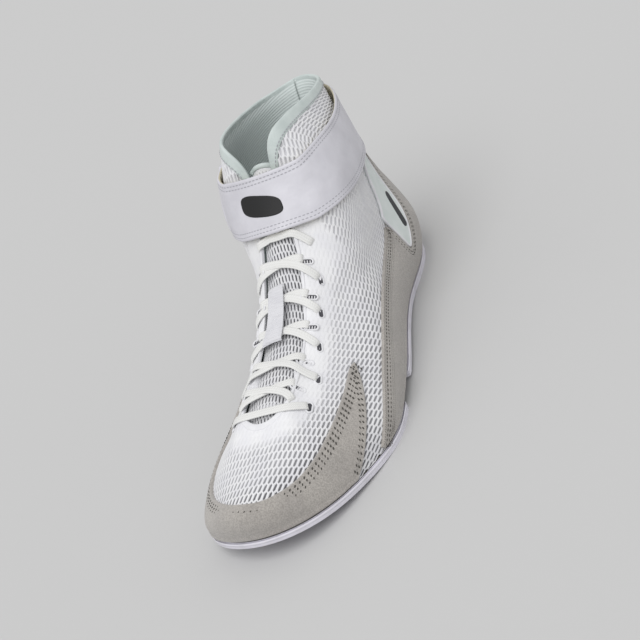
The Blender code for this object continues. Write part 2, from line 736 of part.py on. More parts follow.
def build_keeper():
    u = np.linspace(KEEPER_TOP, KEEPER_BOTTOM, 12)[:, None]
    c = np.linspace(*KEEPER_SIDES[::-1], 4)[None, :]
    u, c = np.broadcast_arrays(u, c)
    edge = np.clip(np.minimum(u - KEEPER_TOP, KEEPER_BOTTOM - u) / 0.16, 0, 1)
    lift = KEEPER_LIFT * (0.25 + 0.75 * edge)
    points = skin_at(u, c) + lift[..., None] * skin_normal(u, c)
    thicken(grid_object("lace_keeper", points, SMOOTH_SYNTHETIC), KEEPER_THICK)


build_upper()
build_tongue()
plate("insole", INSOLE_INSET, FEATHER_HEIGHT, FEATHER_HEIGHT + INSOLE_THICK, FOAM)
plate("bottom_board", BOARD_INSET, BOARD_TOP - BOARD_THICK, BOARD_TOP, SUEDE)
heel = sole_unit("outsole_heel", np.linspace(0, HEEL_STOP, 18), -SOLE_BOW)
cut_grooves(heel, HEEL_GROOVES)
forefoot = sole_unit("outsole_forefoot", np.linspace(FOREFOOT_START, RIBS / 2, 17), SOLE_BOW)
cut_grooves(forefoot, FOREFOOT_GROOVES)
overlay("toe_cap", TOE_CAP, 6, 2, SUEDE_THICK, SUEDE)
overlay("heel_counter", round_the_heel(HEEL_COUNTER), 6, 2, SUEDE_THICK, SUEDE)
overlay("side_panel_lateral", SIDE_PANEL, 5, 1, MINT_THICK, MINT_CLOTH)
overlay("side_panel_medial", mirrored(SIDE_PANEL), 5, 1, MINT_THICK, MINT_CLOTH)
overlay("collar_binding", round_the_heel(COLLAR_BINDING), 2, 2, MINT_THICK, MINT_CLOTH)
build_strap()
build_laces()
build_keeper()
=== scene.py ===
"""Looks of the wrestling shoe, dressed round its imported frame.

The frame gives the solids and the bodies. Every piece below is worked out from the
same last: five loops from the feather line at the sole up to the throat and collar.
Units are metres. The toe points towards -Y and the outer side of the foot to +X.
"""

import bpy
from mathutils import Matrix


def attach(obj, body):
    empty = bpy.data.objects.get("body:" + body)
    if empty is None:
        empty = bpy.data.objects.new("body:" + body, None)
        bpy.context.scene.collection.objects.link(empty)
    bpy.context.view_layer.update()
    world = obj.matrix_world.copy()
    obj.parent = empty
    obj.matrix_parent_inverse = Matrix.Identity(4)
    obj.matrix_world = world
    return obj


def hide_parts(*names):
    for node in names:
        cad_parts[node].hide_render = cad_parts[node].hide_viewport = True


bl_info = {
    "name": "Wrestling Shoe Dressing",
    "version": (1, 0, 0),
    "blender": (4, 5, 0),
    "location": "3D View > Sidebar > Wrestling Shoe",
    "description": "Dresses the packed wrestling shoe in mesh cloth, suede, laces and rubber",
    "category": "Object",
}

from collections import namedtuple

import bmesh
import bpy
import numpy as np
from mathutils import Matrix, Vector

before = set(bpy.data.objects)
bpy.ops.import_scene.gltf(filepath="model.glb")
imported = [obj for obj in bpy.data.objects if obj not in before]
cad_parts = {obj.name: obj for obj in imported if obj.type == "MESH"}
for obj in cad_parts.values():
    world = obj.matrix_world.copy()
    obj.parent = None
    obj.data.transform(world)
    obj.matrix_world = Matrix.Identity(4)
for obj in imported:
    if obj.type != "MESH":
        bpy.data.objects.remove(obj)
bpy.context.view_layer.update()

# Driving sizes of the last
LAST_LENGTH = 0.277
BALL_WIDTH = 0.097
COLLAR_HEIGHT = 0.140
TOE_SWING = 0.009
TOE_SPRING = 0.012
ARCH_RISE = 0.0045
HEEL_REST = 0.033
# Height of the feather line above the floor, thicknesses of the layers, clearances
FEATHER_HEIGHT = 0.0042
UPPER_WALL = 0.0026
STRAP_THICK = 0.0018
TONGUE_THICK = 0.0030
BOARD_THICK = 0.0010
GAP = 0.0003

RIBS = 22
KNOTS = np.array([0.0, 0.14, 0.42, 0.72, 1.0])

# Feather line: along is a share of the last's length, widths of the ball width
Feather = namedtuple("Feather", "along medial lateral")
FEATHER = [
    Feather(0.000, 0.000, 0.000),
    Feather(0.037, 0.208, 0.182),
    Feather(0.128, 0.320, 0.262),
    Feather(0.230, 0.333, 0.269),
    Feather(0.320, 0.296, 0.310),
    Feather(0.412, 0.270, 0.375),
    Feather(0.518, 0.325, 0.441),
    Feather(0.631, 0.432, 0.496),
    Feather(0.725, 0.507, 0.521),
    Feather(0.835, 0.502, 0.435),
    Feather(0.944, 0.363, 0.282),
    Feather(0.996, 0.000, 0.000),
]
# Loops of the upper: up is a share of the collar height, counted from the feather line
Rib = namedtuple("Rib", "along out up")
LOW = [
    Rib(-0.020, 0.000, 0.115),
    Rib(0.016, 0.213, 0.119),
    Rib(0.099, 0.338, 0.116),
    Rib(0.206, 0.368, 0.117),
    Rib(0.319, 0.353, 0.119),
    Rib(0.428, 0.356, 0.118),
    Rib(0.535, 0.407, 0.113),
    Rib(0.638, 0.483, 0.098),
    Rib(0.738, 0.510, 0.078),
    Rib(0.845, 0.445, 0.059),
    Rib(0.946, 0.310, 0.062),
    Rib(1.001, 0.000, 0.079),
]
MIDDLE = [
    Rib(-0.018, 0.000, 0.359),
    Rib(0.026, 0.182, 0.372),
    Rib(0.114, 0.292, 0.379),
    Rib(0.205, 0.328, 0.363),
    Rib(0.300, 0.320, 0.333),
    Rib(0.404, 0.334, 0.306),
    Rib(0.501, 0.358, 0.273),
    Rib(0.595, 0.382, 0.233),
    Rib(0.698, 0.388, 0.201),
    Rib(0.818, 0.360, 0.188),
    Rib(0.914, 0.249, 0.182),
    Rib(0.974, 0.000, 0.192),
]
HIGH = [
    Rib(0.030, 0.000, 0.672),
    Rib(0.054, 0.160, 0.677),
    Rib(0.122, 0.288, 0.681),
    Rib(0.229, 0.366, 0.685),
    Rib(0.334, 0.363, 0.645),
    Rib(0.411, 0.276, 0.539),
    Rib(0.496, 0.236, 0.431),
    Rib(0.599, 0.240, 0.357),
    Rib(0.696, 0.243, 0.305),
    Rib(0.791, 0.231, 0.281),
    Rib(0.861, 0.170, 0.270),
    Rib(0.889, 0.000, 0.266),
]
TOP = [
    Rib(-0.002, 0.000, 0.891),
    Rib(0.024, 0.138, 0.894),
    Rib(0.080, 0.225, 0.918),
    Rib(0.187, 0.260, 0.964),
    Rib(0.320, 0.182, 1.001),
    Rib(0.350, 0.081, 0.867),
    Rib(0.434, 0.110, 0.638),
    Rib(0.526, 0.128, 0.480),
    Rib(0.616, 0.143, 0.391),
    Rib(0.707, 0.160, 0.356),
    Rib(0.780, 0.127, 0.332),
    Rib(0.809, 0.000, 0.317),
]
# How much of the sole's own asymmetry and rise each loop keeps
SIDE_SHARE = [1.0, 0.9, 0.45, 0.1, 0.0]
RISE_SHARE = [1.0, 1.0, 0.6, 0.2, 0.0]


def unit(vectors):
    """The same directions, each of length 1."""
    return vectors / np.linalg.norm(vectors, axis=-1, keepdims=True)


def heading(line):
    """Unit direction of a line at each of its points."""
    return unit(np.gradient(line, axis=0))


def running(line):
    """Length of a line from its start to each of its points."""
    return np.insert(np.cumsum(np.linalg.norm(np.diff(line, axis=0), axis=1)), 0, 0.0)


def eased(line, times):
    """Draws each point of a line towards its neighbours, ends kept, and gives the line back."""
    for _ in range(times):
        line[1:-1] = (line[:-2] + 2 * line[1:-1] + line[2:]) / 4
    return line


def from_heel(u):
    """Rib counted from the heel on either side."""
    return np.where(u > RIBS / 2, RIBS - u, u)


def swing(along):
    """Sideways bend of the last's centre line towards the big toe."""
    reach = np.clip((along - 0.42) / 0.58, 0.0, 1.0)
    return -TOE_SWING * reach * reach * (1.6 - 0.6 * reach)


def along_foot(y):
    """Share of the last's length from the heel at a place y."""
    return (HEEL_REST - y) / LAST_LENGTH


def sole_lift(along):
    """Toe spring and arch, zero on the heel's and the ball's flat spots."""
    toe = np.clip((along - 0.72) / 0.28, 0.0, None)
    arch = np.clip(1.0 - abs(along - 0.42) / 0.22, 0.0, 1.0)
    return TOE_SPRING * toe ** 2 + ARCH_RISE * (3 * arch ** 2 - 2 * arch ** 3)


def loop_points(index):
    """The 22 rib points of one loop: heel back, lateral side, toe, medial side."""
    table = [FEATHER, LOW, MIDDLE, HIGH, TOP][index]
    sides = {"medial": [], "lateral": []}
    for foot, row in zip(FEATHER, table):
        lift = sole_lift(np.array(row.along))
        mean = (foot.medial + foot.lateral) / 2
        for side, sign in (("medial", -1), ("lateral", 1)):
            if index == 0:
                out = getattr(foot, side)
                height = FEATHER_HEIGHT + lift
            else:
                out = row.out + SIDE_SHARE[index] * (getattr(foot, side) - mean)
                height = FEATHER_HEIGHT + row.up * COLLAR_HEIGHT + RISE_SHARE[index] * lift
            if row is table[0] or row is table[-1]:
                out = 0.0
            x = swing(row.along) + sign * out * BALL_WIDTH
            sides[side].append((x, HEEL_REST - row.along * LAST_LENGTH, height))
    return np.array(sides["lateral"] + sides["medial"][-2:0:-1])


def ring_bends(points):
    """Second derivatives of a closed cubic spline through evenly spaced points."""
    count = len(points)
    matrix = 4 * np.eye(count) + np.roll(np.eye(count), 1, 0) + np.roll(np.eye(count), -1, 0)
    return np.linalg.solve(matrix, 6 * (np.roll(points, -1, 0) - 2 * points + np.roll(points, 1, 0)))


def ring_at(points, bends, u):
    """Point of the closed spline at u, counted in ribs."""
    start = np.floor(u).astype(int) % len(points)
    stop = (start + 1) % len(points)
    b = (u - np.floor(u))[:, None]
    a = 1 - b
    curve = (a ** 3 - a) * bends[start] + (b ** 3 - b) * bends[stop]
    return a * points[start] + b * points[stop] + curve / 6


def rail_at(knots, values, v):
    """Natural cubic spline over uneven knots: values has one row a knot, v one entry a column."""
    count = len(knots)
    matrix = np.eye(count)
    right = np.zeros_like(values)
    for i in range(1, count - 1):
        before = knots[i] - knots[i - 1]
        after = knots[i + 1] - knots[i]
        matrix[i, i - 1:i + 2] = before, 2 * (before + after), after
        right[i] = 6 * ((values[i + 1] - values[i]) / after - (values[i] - values[i - 1]) / before)
    bends = np.linalg.solve(matrix, right.reshape(count, -1)).reshape(values.shape)
    k = np.clip(np.searchsorted(knots, v, side="right") - 1, 0, count - 2)
    step = (knots[k + 1] - knots[k])[:, None]
    a = (knots[k + 1] - v)[:, None] / step
    b = 1 - a
    column = np.arange(len(v))
    curve = (a ** 3 - a) * bends[k, column] + (b ** 3 - b) * bends[k + 1, column]
    return a * values[k, column] + b * values[k + 1, column] + curve * step ** 2 / 6


LOOPS = [loop_points(index) for index in range(5)]
BENDS = [ring_bends(points) for points in LOOPS]


def upper_at(u, v):
    """Outer surface of the upper: u counts ribs round the last, v runs from sole to top edge."""
    u, v = np.broadcast_arrays(np.asarray(u, float), np.asarray(v, float))
    rings = np.array([ring_at(p, b, u.ravel()) for p, b in zip(LOOPS, BENDS)])
    return rail_at(KNOTS, rings, v.ravel()).reshape(u.shape + (3,))


def upper_normal(u, v):
    """Outward unit normal of the upper's surface."""
    step = 0.004
    along = upper_at(u + step, v) - upper_at(u - step, v)
    rising = upper_at(u, v + step) - upper_at(u, v - step)
    normal = np.cross(rising, along)
    return unit(normal)


def skin_at(u, c):
    """Upper's surface carried on across the throat, for u from the heel (0) to the toe (11).

    c counts across the foot: beyond 1 it is the lateral wall, four steps deep, beyond
    -1 the medial wall, and between them a smooth bridge over the throat.
    """
    u, c = np.broadcast_arrays(np.asarray(u, float), np.asarray(c, float))
    v = 1.0 - (np.clip(abs(c), 1.0, 5.0) - 1.0) / 4.0
    wall = upper_at(np.where(c >= 0, u, RIBS - u), v)
    lateral = upper_at(u, 1.0)
    medial = upper_at(RIBS - u, 1.0)
    chord = np.linalg.norm(lateral - medial, axis=-1, keepdims=True)
    leave = medial - upper_at(RIBS - u, 0.97)
    arrive = upper_at(u, 0.97) - lateral
    leave, arrive = unit(leave) * chord, unit(arrive) * chord
    t = ((np.clip(c, -1.0, 1.0) + 1.0) / 2.0)[..., None]
    bridge = (2 * t ** 3 - 3 * t ** 2 + 1) * medial + (3 * t ** 2 - 2 * t ** 3) * lateral
    bridge = bridge + (t ** 3 - 2 * t ** 2 + t) * leave + (t ** 3 - t ** 2) * arrive
    return np.where(abs(c)[..., None] < 1.0, bridge, wall)


def skin_normal(u, c):
    """Outward unit normal of skin_at."""
    across = skin_at(u, c + 0.03) - skin_at(u, c - 0.03)
    along = skin_at(u + 0.03, c) - skin_at(u - 0.03, c)
    normal = np.cross(along, across)
    return unit(normal)


def level_normal(u, v):
    """Upper's normal, turned level at the feather line so that walls end on the sole."""
    normal = upper_normal(u, v)
    normal[..., 2] *= np.clip(np.asarray(v) / 0.10, 0.0, 1.0)
    return unit(normal)


# Overlays on the upper: a row for each cut line from the bottom edge to the top edge
FEATHER_CUT, COLLAR_CUT = 0.012, 0.998
Cut = namedtuple("Cut", "low_rib low high_rib high")
TOE_CAP = [Cut(low_rib, FEATHER_CUT, high_rib, high) for low_rib, high_rib, high in (
    (9.14, 7.36, 0.500), (9.24, 7.72, 0.502), (9.44, 8.28, 0.480), (9.72, 8.90, 0.452),
    (10.05, 9.50, 0.412), (10.40, 10.08, 0.360), (10.72, 10.60, 0.345), (11.00, 11.00, 0.392),
    (11.28, 11.40, 0.404), (11.60, 11.92, 0.390), (11.95, 12.50, 0.412), (12.28, 13.10, 0.452),
    (12.56, 13.72, 0.480), (12.76, 14.28, 0.502), (12.86, 14.64, 0.500),
)]
# Lateral half of the heel counter, back centre first: its side notch holds the mint panel
HEEL_COUNTER = [Cut(high_rib, FEATHER_CUT, high_rib, high) for high_rib, high in (
    (0.00, 0.592), (0.60, 0.592), (1.20, 0.592), (1.74, 0.592), (1.86, 0.460),
    (2.05, 0.330), (2.35, 0.255), (2.65, 0.205), (2.92, 0.165), (3.10, 0.225),
    (3.20, 0.390), (3.60, 0.350), (4.40, 0.315), (5.20, 0.298), (6.00, 0.290),
    (6.60, 0.282), (7.16, 0.262), (7.66, 0.208), (8.10, 0.120), (8.40, 0.045),
)]
SIDE_PANEL = [
    Cut(1.90, 0.436, 1.80, 0.592),
    Cut(2.09, 0.330, 2.05, 0.600),
    Cut(2.36, 0.272, 2.30, 0.606),
    Cut(2.62, 0.226, 2.52, 0.600),
    Cut(2.86, 0.186, 2.72, 0.485),
    Cut(2.96, 0.186, 2.90, 0.438),
    Cut(3.05, 0.230, 3.05, 0.420),
    Cut(3.14, 0.380, 3.14, 0.405),
]
# Binding along the collar's edge, from the back centre to the front of the lateral side
COLLAR_BINDING = [Cut(low_rib, low, low_rib, COLLAR_CUT) for low_rib, low in (
    (0.00, 0.955), (0.70, 0.955), (1.40, 0.955), (2.10, 0.955), (2.80, 0.955),
    (3.50, 0.952), (4.10, 0.948), (4.60, 0.940), (5.10, 0.930), (5.60, 0.925),
)]


def mirrored(cuts):
    """The same cuts on the medial side."""
    return [Cut(-c.low_rib, c.low, -c.high_rib, c.high) for c in reversed(cuts)]


def round_the_heel(cuts):
    """Cuts that begin at the back centre, carried on over both sides."""
    return mirrored(cuts)[:-1] + cuts


# Ankle strap: lower and upper edge, back centre first, c as in skin_at, lift as a share of STRAP_LIFT
STRAP_LIFT = 0.0048
Band = namedtuple("Band", "low_rib low_c high_rib high_c lift")
STRAP = [
    Band(0.00, 2.56, 0.00, 1.22, 0.70),
    Band(1.00, 2.56, 0.90, 1.23, 0.66),
    Band(1.90, 2.55, 1.70, 1.34, 0.56),
    Band(2.60, 2.48, 2.40, 1.46, 0.50),
    Band(3.46, 2.35, 3.00, 1.50, 0.48),
    Band(4.20, 2.12, 3.50, 1.47, 0.48),
    Band(4.74, 1.90, 4.05, 1.42, 0.48),
    Band(5.25, 1.64, 4.50, 1.30, 0.67),
    Band(5.72, 1.25, 4.86, 1.12, 0.96),
    Band(6.02, 0.62, 5.10, 0.55, 1.00),
    Band(6.10, 0.00, 5.20, 0.00, 1.00),
]
# Places along the strap: once round the ankle, and where its two ends lie
STRAP_PERIOD = 20.0
STRAP_START = -4.10
STRAP_STOP = 15.60


def from_back(place):
    """Place along the strap counted from the back centre on either side."""
    return np.abs(np.mod(place + STRAP_PERIOD / 2, STRAP_PERIOD) - STRAP_PERIOD / 2)


def strap_point(place, t):
    """Inner face of the strap: place runs from the back centre over the lateral side."""
    side = np.where(np.mod(place, STRAP_PERIOD) <= STRAP_PERIOD / 2, 1.0, -1.0)
    table = np.array(STRAP)
    columns = (np.interp(from_back(place), range(len(STRAP)), table[:, k]) for k in range(5))
    low_rib, low_c, high_rib, high_c, lift = columns
    u = low_rib + (high_rib - low_rib) * t
    c = side * (low_c + (high_c - low_c) * t)
    return skin_at(u, c) + STRAP_LIFT * lift[..., None] * skin_normal(np.maximum(u, 0.04), c)


# Tongue: under the throat's edges and up through the collar's front
TONGUE_SINK = 0.0016
TONGUE_CLEARANCE = 4 * GAP
TONGUE_TOP = 5.02
TONGUE_TOE = 10.20


# Sole: perimeter of a unit, with a rung across from lateral to medial at every station
ACROSS = np.array([-1.0, -0.5, 0.0, 0.5, 1.0])
BOARD_TOP = FEATHER_HEIGHT - GAP
OUTSOLE_TOP = BOARD_TOP - BOARD_THICK - GAP
# Side of the rubber from the floor up: rise is a share of its height, out of the rim's overhang
SOLE_RIM = 0.0019
Level = namedtuple("Level", "rise out")
SOLE_SIDE = [
    Level(0.00, 0.00),
    Level(0.18, 0.77),
    Level(0.42, 0.95),
    Level(0.49, 0.50),
    Level(0.59, 0.50),
    Level(0.67, 1.00),
    Level(1.00, 0.85),
]


def rungs(ribs, bow):
    """Plan of a sole unit: for each rib a line of points from medial to lateral."""
    u = np.asarray(ribs, float)
    lateral = upper_at(u, 0.0)
    medial = upper_at(RIBS - u, 0.0)
    share = (ACROSS + 1) / 2
    plan = medial[:, None] + (lateral - medial)[:, None] * share[None, :, None]
    closed_first = u[0] == 0.0
    order = np.linspace(0, 1, len(u)) if closed_first else np.linspace(1, 0, len(u))
    plan[..., 1] += bow * (1 - ACROSS ** 2)[None, :] * np.clip(order * 3 - 2, 0, 1)[:, None]
    return plan


HEEL_STOP = 6.14
FOREFOOT_START = 7.02
SOLE_BOW = 0.006
# Tread grooves across the sole: along is a share of the length, width of the ball width
Groove = namedtuple("Groove", "along width")
HEEL_GROOVES = [
    Groove(0.055, 0.26),
    Groove(0.095, 0.36),
    Groove(0.143, 0.42),
    Groove(0.183, 0.42),
    Groove(0.223, 0.42),
]
FOREFOOT_GROOVES = [
    Groove(0.69, 0.66),
    Groove(0.73, 0.74),
    Groove(0.77, 0.74),
    Groove(0.81, 0.68),
    Groove(0.85, 0.60),
    Groove(0.89, 0.46),
]
GROOVE_WIDTH = 0.0030
GROOVE_DEPTH = 0.0010


# Laces: a row for each crossing, lateral slot by the throat and lateral hole further out
Row = namedtuple("Row", "slot_rib slot_c middle_rib hole_rib hole_c")
LACE_ROWS = [
    Row(9.20, 1.04, 9.72, 9.42, 1.30),
    Row(8.18, 1.32, 8.92, 8.04, 2.10),
    Row(7.35, 1.36, 7.98, 7.38, 1.90),
    Row(6.74, 1.32, 7.22, 6.68, 1.84),
    Row(6.17, 1.24, 6.55, 6.06, 1.80),
]
BAR_RIB = 8.73
BAR_MIDDLE = 10.45
BAR_C = 2.15
LACE_LIFT = 0.0016


# Keeper: short webbing tab on the tongue, the laces of two rows run under it
KEEPER_TOP = 6.86
KEEPER_BOTTOM = 8.36
KEEPER_SIDES = (-0.56, 0.16)
KEEPER_LIFT = 0.0034
KEEPER_THICK = 0.0008


# Tools shared by the pieces
def linear(code):
    """Linear colour of a six-digit sRGB code."""
    parts = [int(code[k:k + 2], 16) / 255 for k in (0, 2, 4)]
    return [p / 12.92 if p <= 0.04045 else ((p + 0.055) / 1.055) ** 2.4 for p in parts] + [1.0]


def quads(rows, columns, wrap_rows=False, wrap_columns=False):
    """Faces of a grid of points stored row by row."""
    i = np.arange(rows if wrap_rows else rows - 1)[:, None]
    k = np.arange(columns if wrap_columns else columns - 1)[None, :]
    j, m = (i + 1) % rows, (k + 1) % columns
    corners = (i * columns + k, i * columns + m, j * columns + m, j * columns + k)
    return np.stack(np.broadcast_arrays(*corners), -1).reshape(-1, 4)


def linked(name, data):
    """Object of some data, put in the scene."""
    made = bpy.data.objects.new(name, data)
    bpy.context.scene.collection.objects.link(made)
    return made


def tube_faces(rows, columns):
    """Faces of a tube of closed rows, one big face at each end last."""
    ends = [list(range(columns)), list(range((rows - 1) * columns, rows * columns))]
    return quads(rows, columns, wrap_columns=True).tolist() + ends


def piece(name, points, faces, finishes, attributes=None, picks=None, closed=True):
    """Smooth mesh object; attributes are floats or vectors a point, picks a material index a face."""
    data = bpy.data.meshes.new(name)
    data.from_pydata(np.asarray(points).reshape(-1, 3).tolist(), [], [list(map(int, f)) for f in faces])
    for finish in finishes:
        data.materials.append(finish)
    if picks is not None:
        data.polygons.foreach_set("material_index", np.asarray(picks, np.int32))
    for label, values in (attributes or {}).items():
        values = np.asarray(values, np.float32)
        kind = "FLOAT" if values.ndim == 1 else "FLOAT_VECTOR"
        layer = data.attributes.new(label, kind, "POINT")
        layer.data.foreach_set("value" if kind == "FLOAT" else "vector", values.ravel())
    if closed:
        mesh = bmesh.new()
        mesh.from_mesh(data)
        bmesh.ops.recalc_face_normals(mesh, faces=mesh.faces)
        mesh.to_mesh(data)
        mesh.free()
    data.validate()
    data.shade_smooth()
    return linked(name, data)


def dress(made, slot, *nodes):
    """The piece rides on the shoe's body and hides the solids it stands for; its slot is not used."""
    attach(made, "root")
    if nodes:
        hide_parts(*nodes)
    return made


def slab(name, top, bottom, finishes, attributes=None, split=False):
    """Closed sheet between two grids of one shape; attributes are given for the grid."""
    rows, columns = top.shape[:2]
    width = 2 * columns
    section = np.concatenate([top, bottom[:, ::-1]], axis=1)
    faces = [quads(rows, width, wrap_columns=True)]
    k = np.arange(columns - 1)
    for row in (0, rows - 1):
        start = row * width
        faces.append(np.stack([start + k, start + k + 1, start + width - 2 - k, start + width - 1 - k], -1))
    both = {}
    for label, values in (attributes or {}).items():
        folded = np.concatenate([values, values[:, ::-1]], axis=1)
        both[label] = folded.reshape((rows * width,) + values.shape[2:])
    picks = None
    if split:
        under = (np.arange(width) >= columns - 1)[None, :].repeat(rows - 1, 0).ravel()
        picks = np.concatenate([under, np.ones(2 * (columns - 1))])
    return piece(name, section, np.concatenate(faces), finishes, both, picks)


def row_ways(grid):
    """Length of each row of a grid from its start to each of its points."""
    step = np.linalg.norm(np.diff(grid, axis=1), axis=-1)
    return np.insert(np.cumsum(step, axis=1), 0, 0.0, axis=1)


def edge_distance(grid):
    """Way along the grid's lines from each point to the nearest border, in metres."""
    ways = []
    for axis in (0, 1):
        step = np.linalg.norm(np.diff(grid, axis=axis), axis=-1)
        run = np.cumsum(np.insert(step, 0, 0.0, axis=axis), axis=axis)
        ways += [run, run.take([-1], axis=axis) - run]
    return np.minimum.reduce(ways)


def rounded(distance, roll):
    """Height share of a rolled edge: 0 at the border, 1 from roll inwards."""
    return np.sqrt(np.clip(1.0 - (1.0 - np.clip(distance / roll, 0.0, 1.0)) ** 2, 0.0, 1.0))


def spread(count, share):
    """Steps from 0 to 1, packed close within share of both ends."""
    border = share * np.array([0.0, 0.06, 0.2, 0.42, 0.7])
    return np.concatenate([border, np.linspace(share, 1.0 - share, count), 1.0 - border[::-1]])


def soft_step(low, high, value):
    """Smooth rise from 0 at low to 1 at high."""
    x = np.clip((value - low) / (high - low), 0.0, 1.0)
    return x * x * (3.0 - 2.0 * x)


def grid_normals(grid):
    """Unit normals of a grid of points."""
    normal = np.cross(np.gradient(grid, axis=0), np.gradient(grid, axis=1))
    return normal / np.maximum(np.linalg.norm(normal, axis=-1, keepdims=True), 1e-12)


def sampled(field, i, k, f, g):
    """Vectors of a grid, read between rows i and i + 1 and columns k and k + 1 at shares f and g."""
    f, g = f[..., None], g[..., None]
    near = field[i, k] * (1 - g) + field[i, k + 1] * g
    far = field[i + 1, k] * (1 - g) + field[i + 1, k + 1] * g
    return near * (1 - f) + far * f


def refine(grid, rows, columns):
    """Catmull-Rom surface through a coarse grid, sampled at the given row and column places."""
    for axis, place in ((0, rows), (1, columns)):
        count = grid.shape[axis]
        first = 2 * grid.take([0], axis=axis) - grid.take([1], axis=axis)
        last = 2 * grid.take([-1], axis=axis) - grid.take([-2], axis=axis)
        wide = np.concatenate([first, grid, last], axis=axis)
        i = np.clip(np.floor(place).astype(int), 0, count - 2)
        f = place - i
        f = f.reshape([-1 if a == axis else 1 for a in range(grid.ndim)])
        a, b, c, d = (wide.take(i + k, axis=axis) for k in range(4))
        grid = b + 0.5 * f * (c - a + f * (2 * a - 5 * b + 4 * c - d + f * (3 * (b - c) + d - a)))
    return grid


# Corners of the toe cap's side peaks: trim in ribs and height, its reach in rows, how fast it fades
PEAK_TRIM, PEAK_REACH, PEAK_POWER = 0.025, 0.75, 2.2


def soft_cuts(cuts, fine, passes):
    """Cut table as columns, refined and with its corners rounded."""
    table = np.array(cuts, float)
    place = np.linspace(0, len(cuts) - 1, (len(cuts) - 1) * fine + 1)
    columns = np.stack([np.interp(place, range(len(cuts)), table[:, k]) for k in range(table.shape[1])], 1)
    columns = eased(columns, passes)
    if cuts is TOE_CAP:
        near = np.minimum(place, place[::-1])
        trim = PEAK_TRIM * np.clip(1 - near / PEAK_REACH, 0, 1) ** PEAK_POWER
        columns[:, 3] -= trim
        columns[:, 2] += trim * np.where(place < place[-1] / 2, 1, -1)
    return columns


def walk(u, v, way):
    """Moves places on the upper by small 3-D ways laid in its surface."""
    step = 0.004
    along = (upper_at(u + step, v) - upper_at(u - step, v)) / (2 * step)
    rising = (upper_at(u, v + step) - upper_at(u, v - step)) / (2 * step)
    aa, ab, bb = (along * along).sum(-1), (along * rising).sum(-1), (rising * rising).sum(-1)
    wa, wb = (way * along).sum(-1), (way * rising).sum(-1)
    det = aa * bb - ab * ab
    return u + (wa * bb - wb * ab) / det, v + (wb * aa - wa * ab) / det


def inset(u, v, distance, steps=3):
    """Line on the upper run beside a line of places, on its lower side where it runs with the ribs."""
    distance = np.asarray(distance, float)[..., None]
    for _ in range(steps):
        points = upper_at(u, v)
        way = np.cross(upper_normal(u, v), heading(points)) * distance / steps
        u, v = walk(u, v, way)
    return u, v


# Main creases: ends as rib and height, width and depth in metres, a trough below zero
Crease = namedtuple("Crease", "rib height to_rib to_height width depth")
UPPER_CREASES = [
    Crease(5.9, 0.62, 4.9, 0.44, 0.0050, -0.0009),
    Crease(5.4, 0.66, 4.4, 0.52, 0.0040, 0.0004),
    Crease(6.6, 0.60, 5.6, 0.40, 0.0060, -0.0005),
    Crease(16.2, 0.62, 17.2, 0.46, 0.0050, -0.0009),
    Crease(15.5, 0.60, 16.4, 0.42, 0.0060, -0.0005),
    Crease(9.0, 0.66, 8.3, 0.40, 0.0060, -0.0006),
    Crease(9.6, 0.70, 9.1, 0.48, 0.0050, -0.0004),
    Crease(12.9, 0.68, 13.7, 0.40, 0.0060, -0.0006),
    Crease(10.4, 0.22, 11.4, 0.26, 0.0070, 0.0005),
    Crease(9.2, 0.10, 9.0, 0.34, 0.0050, -0.0004),
    Crease(1.3, 0.30, 0.9, 0.48, 0.0070, -0.0006),
    Crease(20.9, 0.32, 21.3, 0.50, 0.0070, -0.0005),
]
# The same on the strap: ends as shares of its length and width
STRAP_CREASES = [
    Crease(0.56, 0.00, 0.60, 0.62, 0.0060, -0.0006),
    Crease(0.50, 1.00, 0.54, 0.45, 0.0055, -0.0005),
    Crease(0.885, 0.00, 0.90, 0.50, 0.0050, -0.0006),
    Crease(0.93, 1.00, 0.91, 0.50, 0.0050, 0.0004),
    Crease(0.16, 0.10, 0.20, 0.80, 0.0060, -0.0005),
]


def fold(points, creases, place):
    """Rise of each point off the plain form, from creases whose ends place puts in space."""
    rise = np.zeros(points.shape[:-1])
    for crease in creases:
        start, stop = place(crease.rib, crease.height), place(crease.to_rib, crease.to_height)
        run = stop - start
        share = np.clip(((points - start) @ run) / (run @ run), 0, 1)
        off = np.linalg.norm(points - start - share[..., None] * run, axis=-1)
        rise += crease.depth * np.exp(-(off / crease.width) ** 2)
    return rise
# Finishes
MIX_FACTOR, MIX_UNDER, MIX_OVER, MIX_RESULT = 0, 6, 7, 2


def add_node(tree, kind, inputs=None, **settings):
    """Adds a node with its settings; an input takes a value, a colour code or another node's output."""
    node = tree.nodes.new(kind)
    for key, value in settings.items():
        setattr(node, key, value)
    for key, value in (inputs or {}).items():
        socket = node.inputs[key]
        if isinstance(value, bpy.types.NodeSocket):
            tree.links.new(value, socket)
        elif isinstance(value, str) and socket.type == "RGBA":
            socket.default_value = linear(value)
        else:
            socket.default_value = value
    return node


def new_finish(name, roughness, **constants):
    """Principled material with its constants set, and its tree."""
    made = bpy.data.materials.new(name)
    made.use_nodes = True
    shader = made.node_tree.nodes["Principled BSDF"]
    shader.inputs["Roughness"].default_value = roughness
    for key, value in constants.items():
        shader.inputs[key.replace("_", " ")].default_value = value
    return made, made.node_tree


def surface(made, colour, *reliefs):
    """Gives a material its colour, a code or socket, and its bumps of (height, distance, strength)."""
    tree = made.node_tree
    shader = tree.nodes["Principled BSDF"]
    if isinstance(colour, str):
        shader.inputs["Base Color"].default_value = linear(colour)
    else:
        tree.links.new(colour, shader.inputs["Base Color"])
    below = {}
    for height, distance, strength in reliefs:
        given = dict(below, Height=height, Distance=distance, Strength=strength)
        below = {"Normal": add_node(tree, "ShaderNodeBump", given).outputs["Normal"]}
    tree.links.new(below["Normal"], shader.inputs["Normal"])
    return made


